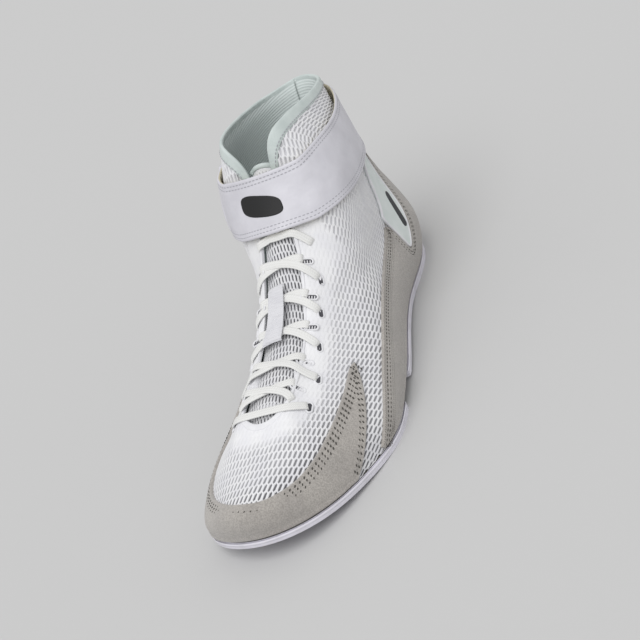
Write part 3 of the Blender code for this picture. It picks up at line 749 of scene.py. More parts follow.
def layered(tree, colour, *layers):
    """Colour with layers of (share, colour) over it; a share or a colour may be a socket."""
    for share, over in layers:
        given = {MIX_FACTOR: share, MIX_UNDER: colour, MIX_OVER: over}
        colour = add_node(tree, "ShaderNodeMix", given, data_type="RGBA").outputs[MIX_RESULT]
    return colour


def patches(tree, size, low, high, detail=3.0):
    """Noise of one grain size in metres, stretched from 0 below low to 1 above high."""
    place = add_node(tree, "ShaderNodeTexCoord").outputs["Object"]
    noise = add_node(tree, "ShaderNodeTexNoise", {"Vector": place, "Scale": 1.0 / size, "Detail": detail})
    given = {"Value": noise.outputs["Fac"], "From Min": low, "From Max": high}
    return add_node(tree, "ShaderNodeMapRange", given, interpolation_type="SMOOTHSTEP").outputs["Result"]


def waves(tree, value, pitch):
    """Even ridges along a length held in a socket, one every pitch, from 0 to 1."""
    steps = (("MULTIPLY", 2 * np.pi / pitch), ("SINE", 0.0), ("MULTIPLY", 0.5), ("ADD", 0.5))
    for operation, number in steps:
        value = add_node(tree, "ShaderNodeMath", {0: value, 1: number}, operation=operation).outputs["Value"]
    return value


def knit_finish(light, dark):
    """Raschel-knit polyester net: matt white yarn, holes down to a ground coloured as painted shade."""
    made, tree = new_finish("polyester_net", 0.72, Sheen_Weight=0.15)
    pit, shade = (add_node(tree, "ShaderNodeAttribute", attribute_name=name).outputs["Fac"]
                  for name in ("pit", "shade"))
    # Painted shade: the hole's ground runs from pale grey to near black with the shade attribute, and pit
    # lays it into the hole
    ground = layered(tree, "CECED2", (shade, "3A3A40"))
    colour = layered(tree, light, (patches(tree, 0.011, 0.35, 0.7), dark), (pit, ground))
    return surface(made, colour, (patches(tree, 0.00035, 0.3, 0.7, 2.0), 0.00008, 0.7))


def suede_finish(light, dark):
    """Synthetic suede, brushed: short nap that scatters light, with darker rubbed patches."""
    made, tree = new_finish("brushed_suede", 0.95, Sheen_Weight=0.35, Sheen_Roughness=0.6)
    broad = layered(tree, dark, (patches(tree, 0.016, 0.32, 0.68, 4.0), light))
    fine = layered(tree, "8A8580", (patches(tree, 0.0008, 0.35, 0.65, 3.0), broad))
    nap = (patches(tree, 0.00045, 0.25, 0.75, 4.0), 0.00022, 0.8)
    swell = (patches(tree, 0.004, 0.3, 0.7), 0.0003, 0.35)
    return surface(made, layered(tree, broad, (0.62, fine)), nap, swell)


def woven_finish(name, light, dark, pitch, depth, roughness):
    """Plain-woven cloth: fine crossed threads that show only as a soft grain."""
    made, tree = new_finish(name, roughness, Sheen_Weight=0.1)
    place = add_node(tree, "ShaderNodeTexCoord").outputs["Object"]
    parts = add_node(tree, "ShaderNodeSeparateXYZ", {"Vector": place}).outputs
    threads = {0: waves(tree, parts["Y"], pitch), 1: waves(tree, parts["Z"], pitch)}
    weave = add_node(tree, "ShaderNodeMath", threads, operation="MULTIPLY").outputs["Value"]
    colour = layered(tree, light, (patches(tree, 0.009, 0.35, 0.7), dark))
    return surface(made, colour, (weave, depth, 0.6))


def coated_finish(name, light, dark, roughness):
    """Coated synthetic leather: smooth and satin, with a very fine pebble and soft undulation."""
    made, tree = new_finish(name, roughness, Coat_Weight=0.08, Coat_Roughness=0.35)
    place = add_node(tree, "ShaderNodeTexCoord").outputs["Object"]
    cells = add_node(tree, "ShaderNodeTexVoronoi", {"Vector": place, "Scale": 1.0 / 0.0007})
    pebble = (cells.outputs["Distance"], 0.00003, 0.5)
    colour = layered(tree, light, (patches(tree, 0.02, 0.35, 0.7), dark))
    return surface(made, colour, pebble, (patches(tree, 0.007, 0.3, 0.7), 0.0004, 0.4))


def lace_finish(light, dark):
    """Flat tubular braid of spun polyester: a herringbone of short yarns, matt off-white, with painted shade
    in the hollows between them.
    """
    made, tree = new_finish("braided_polyester", 0.8, Sheen_Weight=0.2)
    braid = add_node(tree, "ShaderNodeAttribute", attribute_name="braid").outputs["Vector"]
    parts = add_node(tree, "ShaderNodeSeparateXYZ", {"Vector": braid}).outputs
    across = add_node(tree, "ShaderNodeMath", {0: parts["X"]}, operation="ABSOLUTE").outputs["Value"]
    slope = add_node(tree, "ShaderNodeMath", {0: parts["Y"], 1: across}, operation="ADD").outputs["Value"]
    ridge = waves(tree, slope, 0.0011)
    yarns = add_node(
        tree, "ShaderNodeMath", {0: ridge, 1: waves(tree, parts["X"], 0.0014)}, operation="MULTIPLY")
    # Painted shade: the darker tone lies in the hollows between the raised yarns, in step with their bump
    return surface(made, layered(tree, dark, (ridge, light)), (yarns.outputs["Value"], 0.00018, 0.8))


def rubber_finish(light, dark):
    """Moulded white rubber: a little violet, finely ribbed across by the mould, dulled by handling."""
    made, tree = new_finish("moulded_rubber", 0.5, Coat_Weight=0.05)
    place = add_node(tree, "ShaderNodeTexCoord").outputs["Object"]
    parts = add_node(tree, "ShaderNodeSeparateXYZ", {"Vector": place}).outputs
    ribs = (waves(tree, parts["Y"], 0.0016), 0.00010, 0.5)
    colour = layered(tree, light, (patches(tree, 0.012, 0.4, 0.75), dark))
    return surface(made, colour, ribs, (patches(tree, 0.0012, 0.3, 0.7), 0.00005, 0.4))


def lining_finish():
    """Ribbed lining knit of the collar: grey-green with level ribs, painted shade in their grooves, and a
    back seam.
    """
    made, tree = new_finish("ribbed_lining", 0.85, Sheen_Weight=0.1)
    depth, seam = (add_node(tree, "ShaderNodeAttribute", attribute_name=name).outputs["Fac"]
                   for name in ("depth", "seam"))
    ribs = waves(tree, depth, 0.0015)
    # Painted shade: the ribs are paler on their crests and darker in the grooves, in step with their bump
    return surface(made, layered(tree, "BFC8C6", (ribs, "D3DAD9"), (seam, "848C8A")), (ribs, 0.00022, 0.6))


def plain_finish(name, code, roughness):
    """Even colour with a slight grain."""
    made, tree = new_finish(name, roughness)
    return surface(made, code, (patches(tree, 0.0006, 0.3, 0.7), 0.00006, 0.6))


FINISHES = {}


def mix_finishes(colours):
    """Every finish under a short name; colours holds those that a user may change."""
    mint = colours.mint, colours.mint_shade
    coated = colours.coated, colours.coated_shade
    FINISHES.update(
        net=knit_finish(colours.net, colours.net_shade),
        suede=suede_finish(colours.suede, colours.suede_shade),
        mint=woven_finish("mint_twill", *mint, 0.0007, 0.00010, 0.7),
        binding=woven_finish("mint_binding", "C9D2D0", "BEC8C6", 0.0007, 0.00010, 0.7),
        coated=coated_finish("coated_synthetic", *coated, 0.46),
        lace=lace_finish(colours.lace, colours.lace_shade),
        rubber=rubber_finish(colours.rubber, colours.rubber_shade),
        lining=lining_finish(),
        cream=plain_finish("cream_edge_cloth", "CFC8B2", 0.8),
        white=woven_finish("white_binding_tape", "E6E6E9", "DCDCE0", 0.0006, 0.00010, 0.75),
        tape=woven_finish("keeper_webbing", "D6D6DA", "CECED3", 0.0008, 0.00018, 0.8),
        foam=woven_finish("insole_cloth", "A9AFAD", "9DA3A1", 0.0009, 0.00012, 0.85),
        board=plain_finish("fibreboard", "8D8A84", 0.9),
        # Partly painted shade: the dark stitches on the suede stand for the thread and for the shadowed
        # needle holes it passes through
        dark_thread=plain_finish("dark_thread", "46443F", 0.8),
        seam_thread=plain_finish("seam_thread", "77736D", 0.85),
        pale_thread=plain_finish("pale_thread", "A9A9AF", 0.8),
        charcoal=plain_finish("charcoal_print", "2E2F34", 0.55),
        black=plain_finish("black_print", "0E0E10", 0.6),
        slit=plain_finish("eyelet_shadow", "4A4A4F", 0.9),
    )


# Net: staggered long hexagonal holes, laid out by station along the foot and way across it
NET_TILT = 0.50
NET_FIRST, NET_LAST = -0.0925, 0.2015
NET_STATIONS = np.linspace(NET_FIRST, NET_LAST, 168)
NET_LEVELS = 33
NET_LEAN = 0.10
LEAN_CENTRE = 0.14


def station(points):
    """Place along the foot, counted on planes that tip forward with the instep."""
    return -np.cos(NET_TILT) * points[..., 1] - np.sin(NET_TILT) * points[..., 2]


def section_tables():
    """Per side: rib, height and way across for every station, from the throat or centre line down."""
    ribs = RIBS / 2 * (1 - np.cos(np.linspace(0, np.pi, 221))) / 2
    heights = np.linspace(0, 1, 400)
    crest = station(upper_at(RIBS / 2, heights))
    order = np.argsort(crest)
    tables = {}
    for side in (-1, 1):
        rows = []
        for t in NET_STATIONS:
            top = 1.0 if t <= crest[-1] else float(np.interp(t, crest[order], heights[order]))
            v = np.linspace(top, 0.0, NET_LEVELS)
            u = ribs if side > 0 else RIBS - ribs
            loops = station(upper_at(u[:, None], v[None, :]))
            found = np.array([np.interp(t, loops[:, k], ribs) for k in range(NET_LEVELS)])
            if top < 1.0:
                found[0] = RIBS / 2
            line = upper_at(found if side > 0 else RIBS - found, v)
            start = 0.0 if top < 1.0 else abs(line[0, 0] - swing(along_foot(line[0, 1])))
            way = start + running(line)
            rows.append(np.stack([found, v, way], 1))
        tables[side] = np.array(rows)
    return tables


TABLES = section_tables()


def net_place(t, s):
    """Rib and height on the upper at a station t and a way s across."""
    row = np.interp(t, NET_STATIONS, np.arange(len(NET_STATIONS)))
    i = np.clip(np.floor(row).astype(int), 0, len(NET_STATIONS) - 2)
    f = (row - i)[:, None, None]
    u, v = np.empty_like(t), np.empty_like(t)
    for side in (-1, 1):
        mine = (s >= 0) == (side > 0)
        lines = TABLES[side][i] * (1 - f) + TABLES[side][i + 1] * f
        way = lines[:, :, 2]
        k = np.clip((way < abs(s)[:, None]).sum(1) - 1, 0, NET_LEVELS - 2)
        n = np.arange(len(t))
        g = np.clip((abs(s) - way[n, k]) / np.maximum(way[n, k + 1] - way[n, k], 1e-9), 0, 1)
        rib = lines[n, k, 0] * (1 - g) + lines[n, k + 1, 0] * g
        u = np.where(mine, rib if side > 0 else RIBS - rib, u)
        v = np.where(mine, lines[n, k, 1] * (1 - g) + lines[n, k + 1, 1] * g, v)
    return u, v


def lean(t):
    """Sideways lean of the knit's columns, cut on a slight bias."""
    return -NET_LEAN * (t - LEAN_CENTRE)


def net_edges(t, s):
    """Ways across at which the throat's edge and the sole lie, on the side of s."""
    ends = []
    for end in (0, -1):
        lateral, medial = (np.interp(t, NET_STATIONS, TABLES[side][:, end, 2]) for side in (1, -1))
        ends.append(np.where(s >= 0, lateral, medial))
    return ends


def hexagon(width, long_side, slant):
    """Corners of a long hexagon as ways across and along."""
    return np.array([
        (-width / 2, -long_side / 2), (0, -long_side / 2 - slant), (width / 2, -long_side / 2),
        (width / 2, long_side / 2), (0, long_side / 2 + slant), (-width / 2, long_side / 2)])


# Cell of the net: slant of its ends, its hole against the strand, the hole's shear and its floor
SLANT, HOLE_ENDS, HOLE_SLANT, HOLE_SHEAR, FLOOR = 0.24, 0.35, 0.85, 0.10, 0.86
# Heights as shares of the ridge, painted shade at the hole's edge, and grid on which corners are shared
FLAT_SHARE, EDGE_SHARE, HOLE_EDGE_SHADE, CORNER_GRID = 0.8, 0.5, 0.22, 0.00004


def net_mesh(name, centres, locate, shade, sizes):
    """Net of one cell a centre: ridge, hole edge and floor rings.

    locate gives the points, normals and share of fused film at places, and shade the strength of the painted
    shade in their holes.
    """
    across, along, strand, depth, ridge = sizes
    slant = SLANT * along
    long_side = along - slant
    outer = hexagon(across, long_side, slant)
    hole = hexagon(across - strand, long_side - HOLE_ENDS * strand, slant * HOLE_SLANT)
    hole[:, 0] -= HOLE_SHEAR * hole[:, 1]
    count = len(centres)
    corner = (centres[:, None, :] + outer[None]).reshape(-1, 2)
    key = np.round(corner / CORNER_GRID).astype(np.int64)
    _, first, index = np.unique(key, axis=0, return_index=True, return_inverse=True)
    shared = corner[first]
    index = index.reshape(count, 6)
    inner = (centres[:, None, :] + hole[None]).reshape(-1, 2)
    floor = (centres[:, None, :] + FLOOR * hole[None]).reshape(-1, 2)
    places = np.concatenate([shared, inner, floor])
    points, normals, smooth = locate(places)
    open_share = 1.0 - smooth
    low = len(shared)
    height = np.repeat([ridge, EDGE_SHARE * ridge, -depth], [low, 6 * count, 6 * count])
    flat = FLAT_SHARE * ridge
    points = points + normals * (flat + (height - flat) * open_share)[:, None]
    # Painted shade: a little on the hole's edge ring, full on its floor, less where the film closes it
    pit = np.repeat([0.0, HOLE_EDGE_SHADE, 1.0], [low, 6 * count, 6 * count]) * open_share
    edge_ring = low + np.arange(6 * count).reshape(count, 6)
    floor_ring = edge_ring + 6 * count
    after = np.roll(np.arange(6), -1)
    faces = []
    for a, b in ((index, edge_ring), (edge_ring, floor_ring)):
        faces += np.stack([a, a[:, after], b[:, after], b], -1).reshape(-1, 4).tolist()
    faces += floor_ring.tolist()
    return piece(name, points, faces, [FINISHES["net"]], {"pit": pit, "shade": shade(places)}, closed=False)


def inside(polygon, u, v):
    """Whether places lie in a closed outline of (rib, height) corners."""
    found = np.zeros(len(u), bool)
    for (u0, v0), (u1, v1) in zip(polygon, np.roll(polygon, -1, 0)):
        cross = (v0 > v) != (v1 > v)
        with np.errstate(divide="ignore", invalid="ignore"):
            found ^= cross & (u < (u1 - u0) * (v - v0) / (v1 - v0) + u0)
    return found


def outline(cuts):
    """Outline of an overlay from its cut table."""
    columns = soft_cuts(cuts, 4, 4)
    return np.concatenate([columns[:, :2], columns[::-1, 2:4]])


# Smooth fused film round the throat: rib and the height where it begins, how far it fades below and above
# that, its full share, and a height that no place reaches
FILM_BELOW, FILM_ABOVE, FILM_FULL, BARE = 0.07, 0.05, 0.93, 1.3
FILM = np.array([
    (4.9, 0.64), (5.5, 0.70), (6.5, 0.69), (7.5, 0.66),
    (8.5, 0.64), (9.5, 0.73), (10.2, 0.81), (11.0, 0.85)])


def film_share(u, v):
    """1 on the fused film, 0 on the open net."""
    begin = np.interp(from_heel(u), FILM[:, 0], FILM[:, 1], left=BARE)
    return soft_step(begin - FILM_BELOW, begin + FILM_ABOVE, v) * FILM_FULL


# Painted shade on the ground in the holes: everywhere, and what toe, low sides and ankle add
Shade = namedtuple("Shade", "plain toe low ankle")
SHADE = Shade(0.03, 0.34, 0.48, -0.10)
# Rows of STRAP that lie on the wall, ribs beside the back seam without net, ways by which a cell is tried
STRAP_ON_WALL = 9
BACK_SEAM = 0.2
TRIES = ((0, 0), (0.005, 0), (-0.005, 0), (0, 0.004), (0, -0.004))


def net_centres(rows, columns, across, along):
    """Ways across and along of staggered cells."""
    row, column = np.meshgrid(rows, columns, indexing="ij")
    return ((column + 0.5 * (row % 2)) * across).ravel(), (row * along).ravel()


def upper_net(sizes):
    """Net over the upper wherever no overlay hides it."""
    across, along = sizes[0], sizes[1]
    rows = np.arange(int(NET_FIRST / along) + 1, int(NET_LAST / along))
    flat, t = net_centres(rows, np.arange(-90, 91), across, along)
    s = flat + lean(t)
    edge, bottom = net_edges(t, s)
    keep = (abs(s) > edge - 0.2 * across) & (abs(s) < bottom)
    t, s, flat = t[keep], s[keep], flat[keep]
    hidden = np.ones(len(t), bool)
    band = np.array(STRAP[:STRAP_ON_WALL])
    strap = np.concatenate([band[:, :2], band[::-1, 2:4]])
    strap[:, 1] = 1 - (strap[:, 1] - 1) / 4
    toe_cap = outline(TOE_CAP)
    areas = [strap] + [outline(cuts) for cuts in (HEEL_COUNTER, SIDE_PANEL, COLLAR_BINDING)]
    for dt, ds in TRIES:
        u, v = net_place(t + dt, s + ds)
        covered = inside(toe_cap, u, v) | (v <= FEATHER_CUT)
        for area in areas:
            covered |= inside(area, from_heel(u), v)
        hidden &= covered
    hidden |= from_heel(net_place(t, s)[0]) < BACK_SEAM
    centres = np.stack([flat, t], 1)[~hidden]

    def locate(places):
        t = places[:, 1]
        s = places[:, 0] + lean(t)
        edge = net_edges(t, s)[0]
        s = np.where(abs(s) < edge, np.copysign(edge, s), s)
        u, v = net_place(t, s)
        skin, normal = upper_at(u, v), level_normal(u, v)
        skin = skin + fold(skin, UPPER_CREASES, upper_at)[:, None] * normal
        return skin, normal, film_share(u, v)

    def shade(places):
        # Painted shade: deeper at the toe and low on the sides, lighter at the ankle
        u, v = net_place(places[:, 1], places[:, 0] + lean(places[:, 1]))
        toe = soft_step(7.6, 9.4, from_heel(u))
        low = 1 - soft_step(0.36, 0.64, v)
        ankle = 1 - soft_step(3.6, 5.6, from_heel(u))
        return np.clip(SHADE.plain + SHADE.toe * toe + SHADE.low * low + SHADE.ankle * ankle, 0, 1)

    return net_mesh("upper_net", centres, locate, shade, sizes)


# Upper: hollow wall, its edges bound with tape. Share of its thickness lost at the top edge, points up
# the wall, depth of its outer face under the net, rib of the lining's back seam and way across one rib
TAPER = 0.55
WALL_ROWS = 56
UNDER_NET = 0.00085
LINING_SEAM, RIB_WAY = RIBS - 0.25, 0.021


def upper_shell():
    """Hollow wall behind the net, with the ribbed lining inside."""
    seam = LINING_SEAM + np.array([-0.11, -0.075, -0.05, -0.025, 0.0, 0.025, 0.05, 0.075, 0.11])
    u = np.concatenate([np.linspace(0.0, RIBS - 0.41, 240), seam, [RIBS - 0.09, RIBS - 0.045]])[:, None]
    v = np.linspace(0, 1, WALL_ROWS)[None, :] ** 1.1
    u, v = np.broadcast_arrays(u, v)
    skin, normal = upper_at(u, v), level_normal(u, v)
    outer = skin + (fold(skin, UPPER_CREASES, upper_at) - UNDER_NET)[..., None] * normal
    off = abs(u - LINING_SEAM) * RIB_WAY
    ridge = 0.0006 * np.exp(-((off - 0.0008) / 0.0006) ** 2) - 0.0004 * np.exp(-(off / 0.0004) ** 2)
    dark = np.exp(-(off / 0.0007) ** 2)
    dark = np.concatenate([dark, dark], axis=1)
    thin = 1 - TAPER * soft_step(0.94, 1.0, v)
    inner = skin - (UPPER_WALL * thin + ridge)[..., None] * normal
    section = np.concatenate([outer, inner[:, ::-1]], axis=1)
    width = section.shape[1]
    depth = np.concatenate([skin[..., 2], skin[:, ::-1, 2]], axis=1)
    rows = len(u)
    lined = (np.arange(width) >= WALL_ROWS - 1)[None, :].repeat(rows, 0).ravel()
    none = np.zeros(section.shape[0] * width)
    made = piece(
        "upper_shell", section, quads(rows, width, True, True), [FINISHES["net"], FINISHES["lining"]],
        {"depth": depth.ravel(), "seam": dark.ravel(), "pit": none, "shade": none}, lined)
    return dress(made, "mesh_cloth", "upper")


def edge_tape(name, ribs, low, lift, finish, slot, *nodes):
    """Tape folded over the top edge, from low on the outside to just as far inside."""
    u = ribs[:, None]
    down = np.linspace(low, 0.992, 9)[None, :]
    swell = lift * rounded((down - low) * 0.10, 0.0009)[..., None]
    outside = upper_at(u, down) + swell * upper_normal(u, down)
    inner_down = 1 - (1 - down) * 0.35
    wall = UPPER_WALL * (1 - TAPER) + 0.0004
    inside_wall = upper_at(u, inner_down) - wall * upper_normal(u, inner_down)
    rim, normal = upper_at(ribs, np.full(len(ribs), 1.0)), upper_normal(ribs, np.full(len(ribs), 1.0))
    rise = unit(rim - upper_at(ribs, np.full(len(ribs), 0.98)))
    radius = (wall + lift) / 2
    centre = rim + normal * (lift - radius) - rise * radius * 0.4
    turn = np.linspace(0.12 * np.pi, 0.88 * np.pi, 9)
    arc = centre[:, None] + radius * (
        np.cos(turn)[None, :, None] * normal[:, None] + np.sin(turn)[None, :, None] * rise[:, None])
    back = upper_at(u, down) - UPPER_WALL * 0.5 * upper_normal(u, down)
    section = np.concatenate([outside, arc, inside_wall[:, ::-1], back[:, :1]], axis=1)
    width = section.shape[1]
    return dress(piece(name, section, tube_faces(len(ribs), width), [finish]), slot, *nodes)


def bind_edges():
    """Tape along the collar and round the throat."""
    collar = np.linspace(-5.62, 5.62, 260)
    edge_tape("collar_tape", collar, 0.962, 0.0006, FINISHES["binding"], "mint_cloth", "collar_binding")
    throat = np.linspace(5.60, RIBS - 5.60, 300)
    edge_tape("throat_tape", throat, 0.952, 0.0007, FINISHES["white"], "mesh_cloth")


# Overlays: steps a cut, rounding passes, rows and share of close ones, height and roll of the edge
Grid = namedtuple("Grid", "fine passes rows share height roll")
CAP_GRID = Grid(20, 60, 60, 0.06, 0.0018, 0.0011)
COUNTER_GRID = Grid(10, 12, 70, 0.05, 0.0018, 0.0011)
PANEL_GRID = Grid(10, 24, 30, 0.06, 0.0015, 0.0010)
# Trough along the seams: depth, way from the edge, width; and the deepest crease an overlay follows
SEAM_PULL, SEAM_WAY, SEAM_WIDTH = 0.00022, 0.0040, 0.0016
DEEPEST_CREASE = 0.0010


def overlay_grid(cuts, grid):
    """Ribs and heights of an overlay's grid, dense at its borders."""
    columns = soft_cuts(cuts, grid.fine, grid.passes)
    place = spread(len(columns), 0.02) * (len(columns) - 1)
    low_rib, low, high_rib, high = (
        np.interp(place, range(len(columns)), columns[:, k])[:, None] for k in range(4))
    t = spread(grid.rows, grid.share)[None, :]
    return low_rib + (high_rib - low_rib) * t, low + (high - low) * t


def overlay_piece(name, cuts, grid, finish, slot):
    """Rolled-edge slab on the upper, creased with it, sunk a little where its seams pull it down."""
    u, v = overlay_grid(cuts, grid)
    skin, normal = upper_at(u, v), level_normal(u, v)
    way = edge_distance(skin)
    lift = 0.00005 + grid.height * rounded(way, grid.roll)
    lift -= SEAM_PULL * np.exp(-((way - SEAM_WAY) / SEAM_WIDTH) ** 2)
    lift += np.maximum(fold(skin, UPPER_CREASES, upper_at), -DEEPEST_CREASE)
    top = skin + lift[..., None] * normal
    bottom = skin - 0.0001 * normal
    return dress(slab(name, top, bottom, [finish]), slot, name.rsplit("_", 1)[0])


def lay_overlays():
    """Toe cap, heel counter and both side panels."""
    suede, mint = FINISHES["suede"], FINISHES["mint"]
    overlay_piece("toe_cap_suede", TOE_CAP, CAP_GRID, suede, "suede")
    overlay_piece("heel_counter_suede", round_the_heel(HEEL_COUNTER), COUNTER_GRID, suede, "suede")
    overlay_piece("side_panel_lateral_cloth", SIDE_PANEL, PANEL_GRID, mint, "mint_cloth")
    overlay_piece("side_panel_medial_cloth", mirrored(SIDE_PANEL), PANEL_GRID, mint, "mint_cloth")


# Ankle strap: ways of its seams from its edge, depth and width of the groove that each pulls
STRAP_SEAMS = (0.0026, 0.0048)
GROOVE_PULL, GROOVE_SPREAD = 0.00018, 0.0006
# Its coarse grid as in the solid, and where its front begins
STRAP_PLACES, STRAP_LINES, STRAP_FRONT = 50, 5, 6.4
# Tab over its ends: first and last place, steps between them, how far in from the strap's edges it stays
TAB_START, TAB_STOP, TAB_STEPS, TAB_MARGIN = 15.25, 16.35, 11, 0.02


def strap_grid():
    """Inner face of the strap, as in the solid but finer."""
    place = np.linspace(STRAP_START, STRAP_STOP, STRAP_PLACES)[:, None]
    t = np.linspace(0, 1, STRAP_LINES)[None, :]
    place, t = np.broadcast_arrays(place, t)
    points = strap_point(place, t)
    front = np.clip(from_back(place) - STRAP_FRONT, 0.0, 1.0)[1:-1, :, None]
    for count in range(24):
        points[1:-1] += (front if count > 1 else 1.0) * (points[:-2] - 2 * points[1:-1] + points[2:]) / 4
    return refine(points, spread(300, 0.012) * (STRAP_PLACES - 1), spread(34, 0.06) * (STRAP_LINES - 1))


def wrap_strap():
    """Band of the strap: its outer face and normals go back for the badge and stitches."""
    inner = strap_grid()
    normal = -grid_normals(inner)
    middle = inner.mean((0, 1))
    if ((inner - middle) * normal).sum() < 0:
        normal = -normal
    way = edge_distance(inner)
    share = rounded(way, 0.0010)
    first, second = (GROOVE_PULL * np.exp(-((way - seam) / GROOVE_SPREAD) ** 2) for seam in STRAP_SEAMS)
    groove = first + second
    last = np.array(inner.shape[:2]) - 1

    def place(row, column):
        return inner[tuple(np.round(last * (row, column)).astype(int))]

    bent = fold(inner, STRAP_CREASES, place)
    outer = inner + normal * ((STRAP_THICK / 2) * (1 + share) - groove + bent)[..., None]
    under = inner + normal * ((STRAP_THICK / 2) * (1 - share) + 0.5 * bent)[..., None]
    made = slab("ankle_strap_band", outer, under, [FINISHES["coated"], FINISHES["cream"]], split=True)
    dress(made, "smooth_synthetic", "ankle_strap")
    return outer, normal


def cover_closure():
    """Tab over the two ends of the strap where they meet on the medial side."""
    place = np.linspace(TAB_START, TAB_STOP, TAB_STEPS + 1)[:, None]
    place, t = np.broadcast_arrays(place, np.linspace(TAB_MARGIN, 1 - TAB_MARGIN, STRAP_LINES)[None, :])
    inner = refine(strap_point(place, t), spread(30, 0.1) * TAB_STEPS, spread(34, 0.06) * (STRAP_LINES - 1))
    normal = grid_normals(inner)
    if normal[..., 0].sum() > 0:
        normal = -normal
    share = rounded(edge_distance(inner), 0.0009)
    outer = inner + normal * (STRAP_THICK + 0.0001 + 0.0012 * share)[..., None]
    under = inner + normal * (STRAP_THICK - 0.0002)
    dress(slab("ankle_strap_tab", outer, under, [FINISHES["coated"]]), "smooth_synthetic")


# Tongue: width and thickness of its bound edge; columns of places for its net and those left bare at a side;
# width, length and strand of its cell as shares of the upper's
TONGUE_EDGE = (0.0030, 0.0034)
TONGUE_COLUMNS, TONGUE_BARE = 81, 3
TONGUE_CELL = (0.82, 0.95, 0.9)


def tongue_grid():
    """Outer face of the tongue, as in the solid."""
    u = np.linspace(TONGUE_TOP, TONGUE_TOE, 17)[:, None]
    reach = np.interp(u, [TONGUE_TOP, 5.3, 6.3, 9.0, TONGUE_TOE], [0.88, 0.97, 1.40, 1.40, 1.18])
    c = np.linspace(1, -1, 9)[None, :] * reach
    u, c = np.broadcast_arrays(u, c)
    flank = np.clip((abs(c) - 0.2) / 0.6, 0, 1)
    below_wall = UPPER_WALL + TONGUE_CLEARANCE
    sink = TONGUE_SINK + (below_wall - TONGUE_SINK) * flank * flank * (3 - 2 * flank)
    points = skin_at(u, c) - sink[..., None] * skin_normal(u, c)
    round_toe = np.linspace(TONGUE_TOE + 0.25, RIBS - TONGUE_TOE - 0.25, points.shape[1])
    for v in (0.945, 0.890, 0.835):
        row = upper_at(round_toe, v) - (below_wall + GAP) * upper_normal(round_toe, v)
        points = np.concatenate([points, row[None]])
    return points


def lay_tongue(sizes):
    """Padded tongue with its bound edge and net."""
    coarse = tongue_grid()
    last = np.array(coarse.shape[:2]) - 1
    grid = refine(coarse, spread(150, 0.012) * last[0], spread(60, 0.04) * last[1])
    normal = -grid_normals(grid)
    if normal[..., 2].sum() < 0:
        normal = -normal
    share = rounded(edge_distance(grid), 0.0014)
    top = grid - normal * (0.5 * TONGUE_THICK * (1 - share) + 0.0004)[..., None]
    bottom = grid - normal * (TONGUE_THICK * (0.5 + 0.5 * share))[..., None]
    dress(slab("tongue_padding", top, bottom, [FINISHES["white"]]), "mesh_cloth", "tongue")
    rim, up = grid[0] - 0.5 * TONGUE_THICK * normal[0], normal[0]
    cord = ribbon(rim, up, np.cross(up, heading(rim)), *TONGUE_EDGE)
    dress(joined("tongue_binding", [cord], FINISHES["binding"]), "mint_cloth")
    lay_tongue_net(coarse, sizes)


def lay_tongue_net(coarse, sizes):
    """Finer net over the tongue, fused along its upper rim, clear of its sides."""
    last = np.array(coarse.shape[:2]) - 1
    fine = refine(coarse, np.linspace(0, last[0], 200), np.linspace(0, last[1], TONGUE_COLUMNS))
    normal = -grid_normals(fine)
    if normal[..., 2].sum() < 0:
        normal = -normal
    middle = TONGUE_COLUMNS // 2
    run = running(fine[:, middle])
    ways = row_ways(fine)
    ways = ways - ways[:, middle:middle + 1]
    across, along = sizes[0] * TONGUE_CELL[0], sizes[1] * TONGUE_CELL[1]

    def place(s, t):
        row = np.interp(t, run, np.arange(len(run)))
        i = np.clip(np.floor(row).astype(int), 0, len(run) - 2)
        f = row - i
        way = ways[i] * (1 - f)[:, None] + ways[i + 1] * f[:, None]
        k = np.clip((way < s[:, None]).sum(1) - 1, 0, TONGUE_COLUMNS - 2)
        n = np.arange(len(t))
        return i, k, f, np.clip((s - way[n, k]) / (way[n, k + 1] - way[n, k]), 0, 1)

    def locate(places):
        found = place(places[:, 0], places[:, 1])
        rim = soft_step(0.0045, 0.0030, places[:, 1])
        return sampled(fine, *found), sampled(normal, *found), rim

    rows = np.arange(1, int(run[-1] * 0.93 / along))
    s, t = net_centres(rows, np.arange(-9, 10), across, along)
    column = place(s, t)[1]
    keep = (column > TONGUE_BARE) & (column < TONGUE_COLUMNS - 2 - TONGUE_BARE)
    narrow = (across, along, sizes[2] * TONGUE_CELL[2]) + tuple(sizes[3:])

    def shade(places):
        # Painted shade: the tongue's holes all get the same dark ground
        return np.full(len(places), 0.9)

    dress(net_mesh("tongue_net", np.stack([s, t], 1)[keep], locate, shade, narrow), "mesh_cloth")


# Laces: rise of the upper and the lower run at a crossing, and how deep each end goes into its slot or hole
OVER_ARCH, UNDER_ARCH = 0.0009, -0.0004
SLOT_DIVE, HOLE_DIVE = 0.0016, 0.0026
DIVE_LENGTH = 0.0032


def ribbon(spine, normal, side, width, thickness):
    """Points, faces and braid directions of a flat lace with rounded edges."""
    turn = np.linspace(0, 2 * np.pi, 16, endpoint=False)
    across = np.sign(np.cos(turn)) * np.abs(np.cos(turn)) ** 0.35 * width / 2
    rise = np.sign(np.sin(turn)) * np.abs(np.sin(turn)) ** 0.75 * thickness / 2
    section = spine[:, None] + across[None, :, None] * side[:, None] + rise[None, :, None] * normal[:, None]
    along = running(spine)
    braid = np.zeros(section.shape)
    braid[..., 0] = across[None, :]
    braid[..., 1] = along[:, None]
    return section.reshape(-1, 3), tube_faces(*section.shape[:2]), braid.reshape(-1, 3)


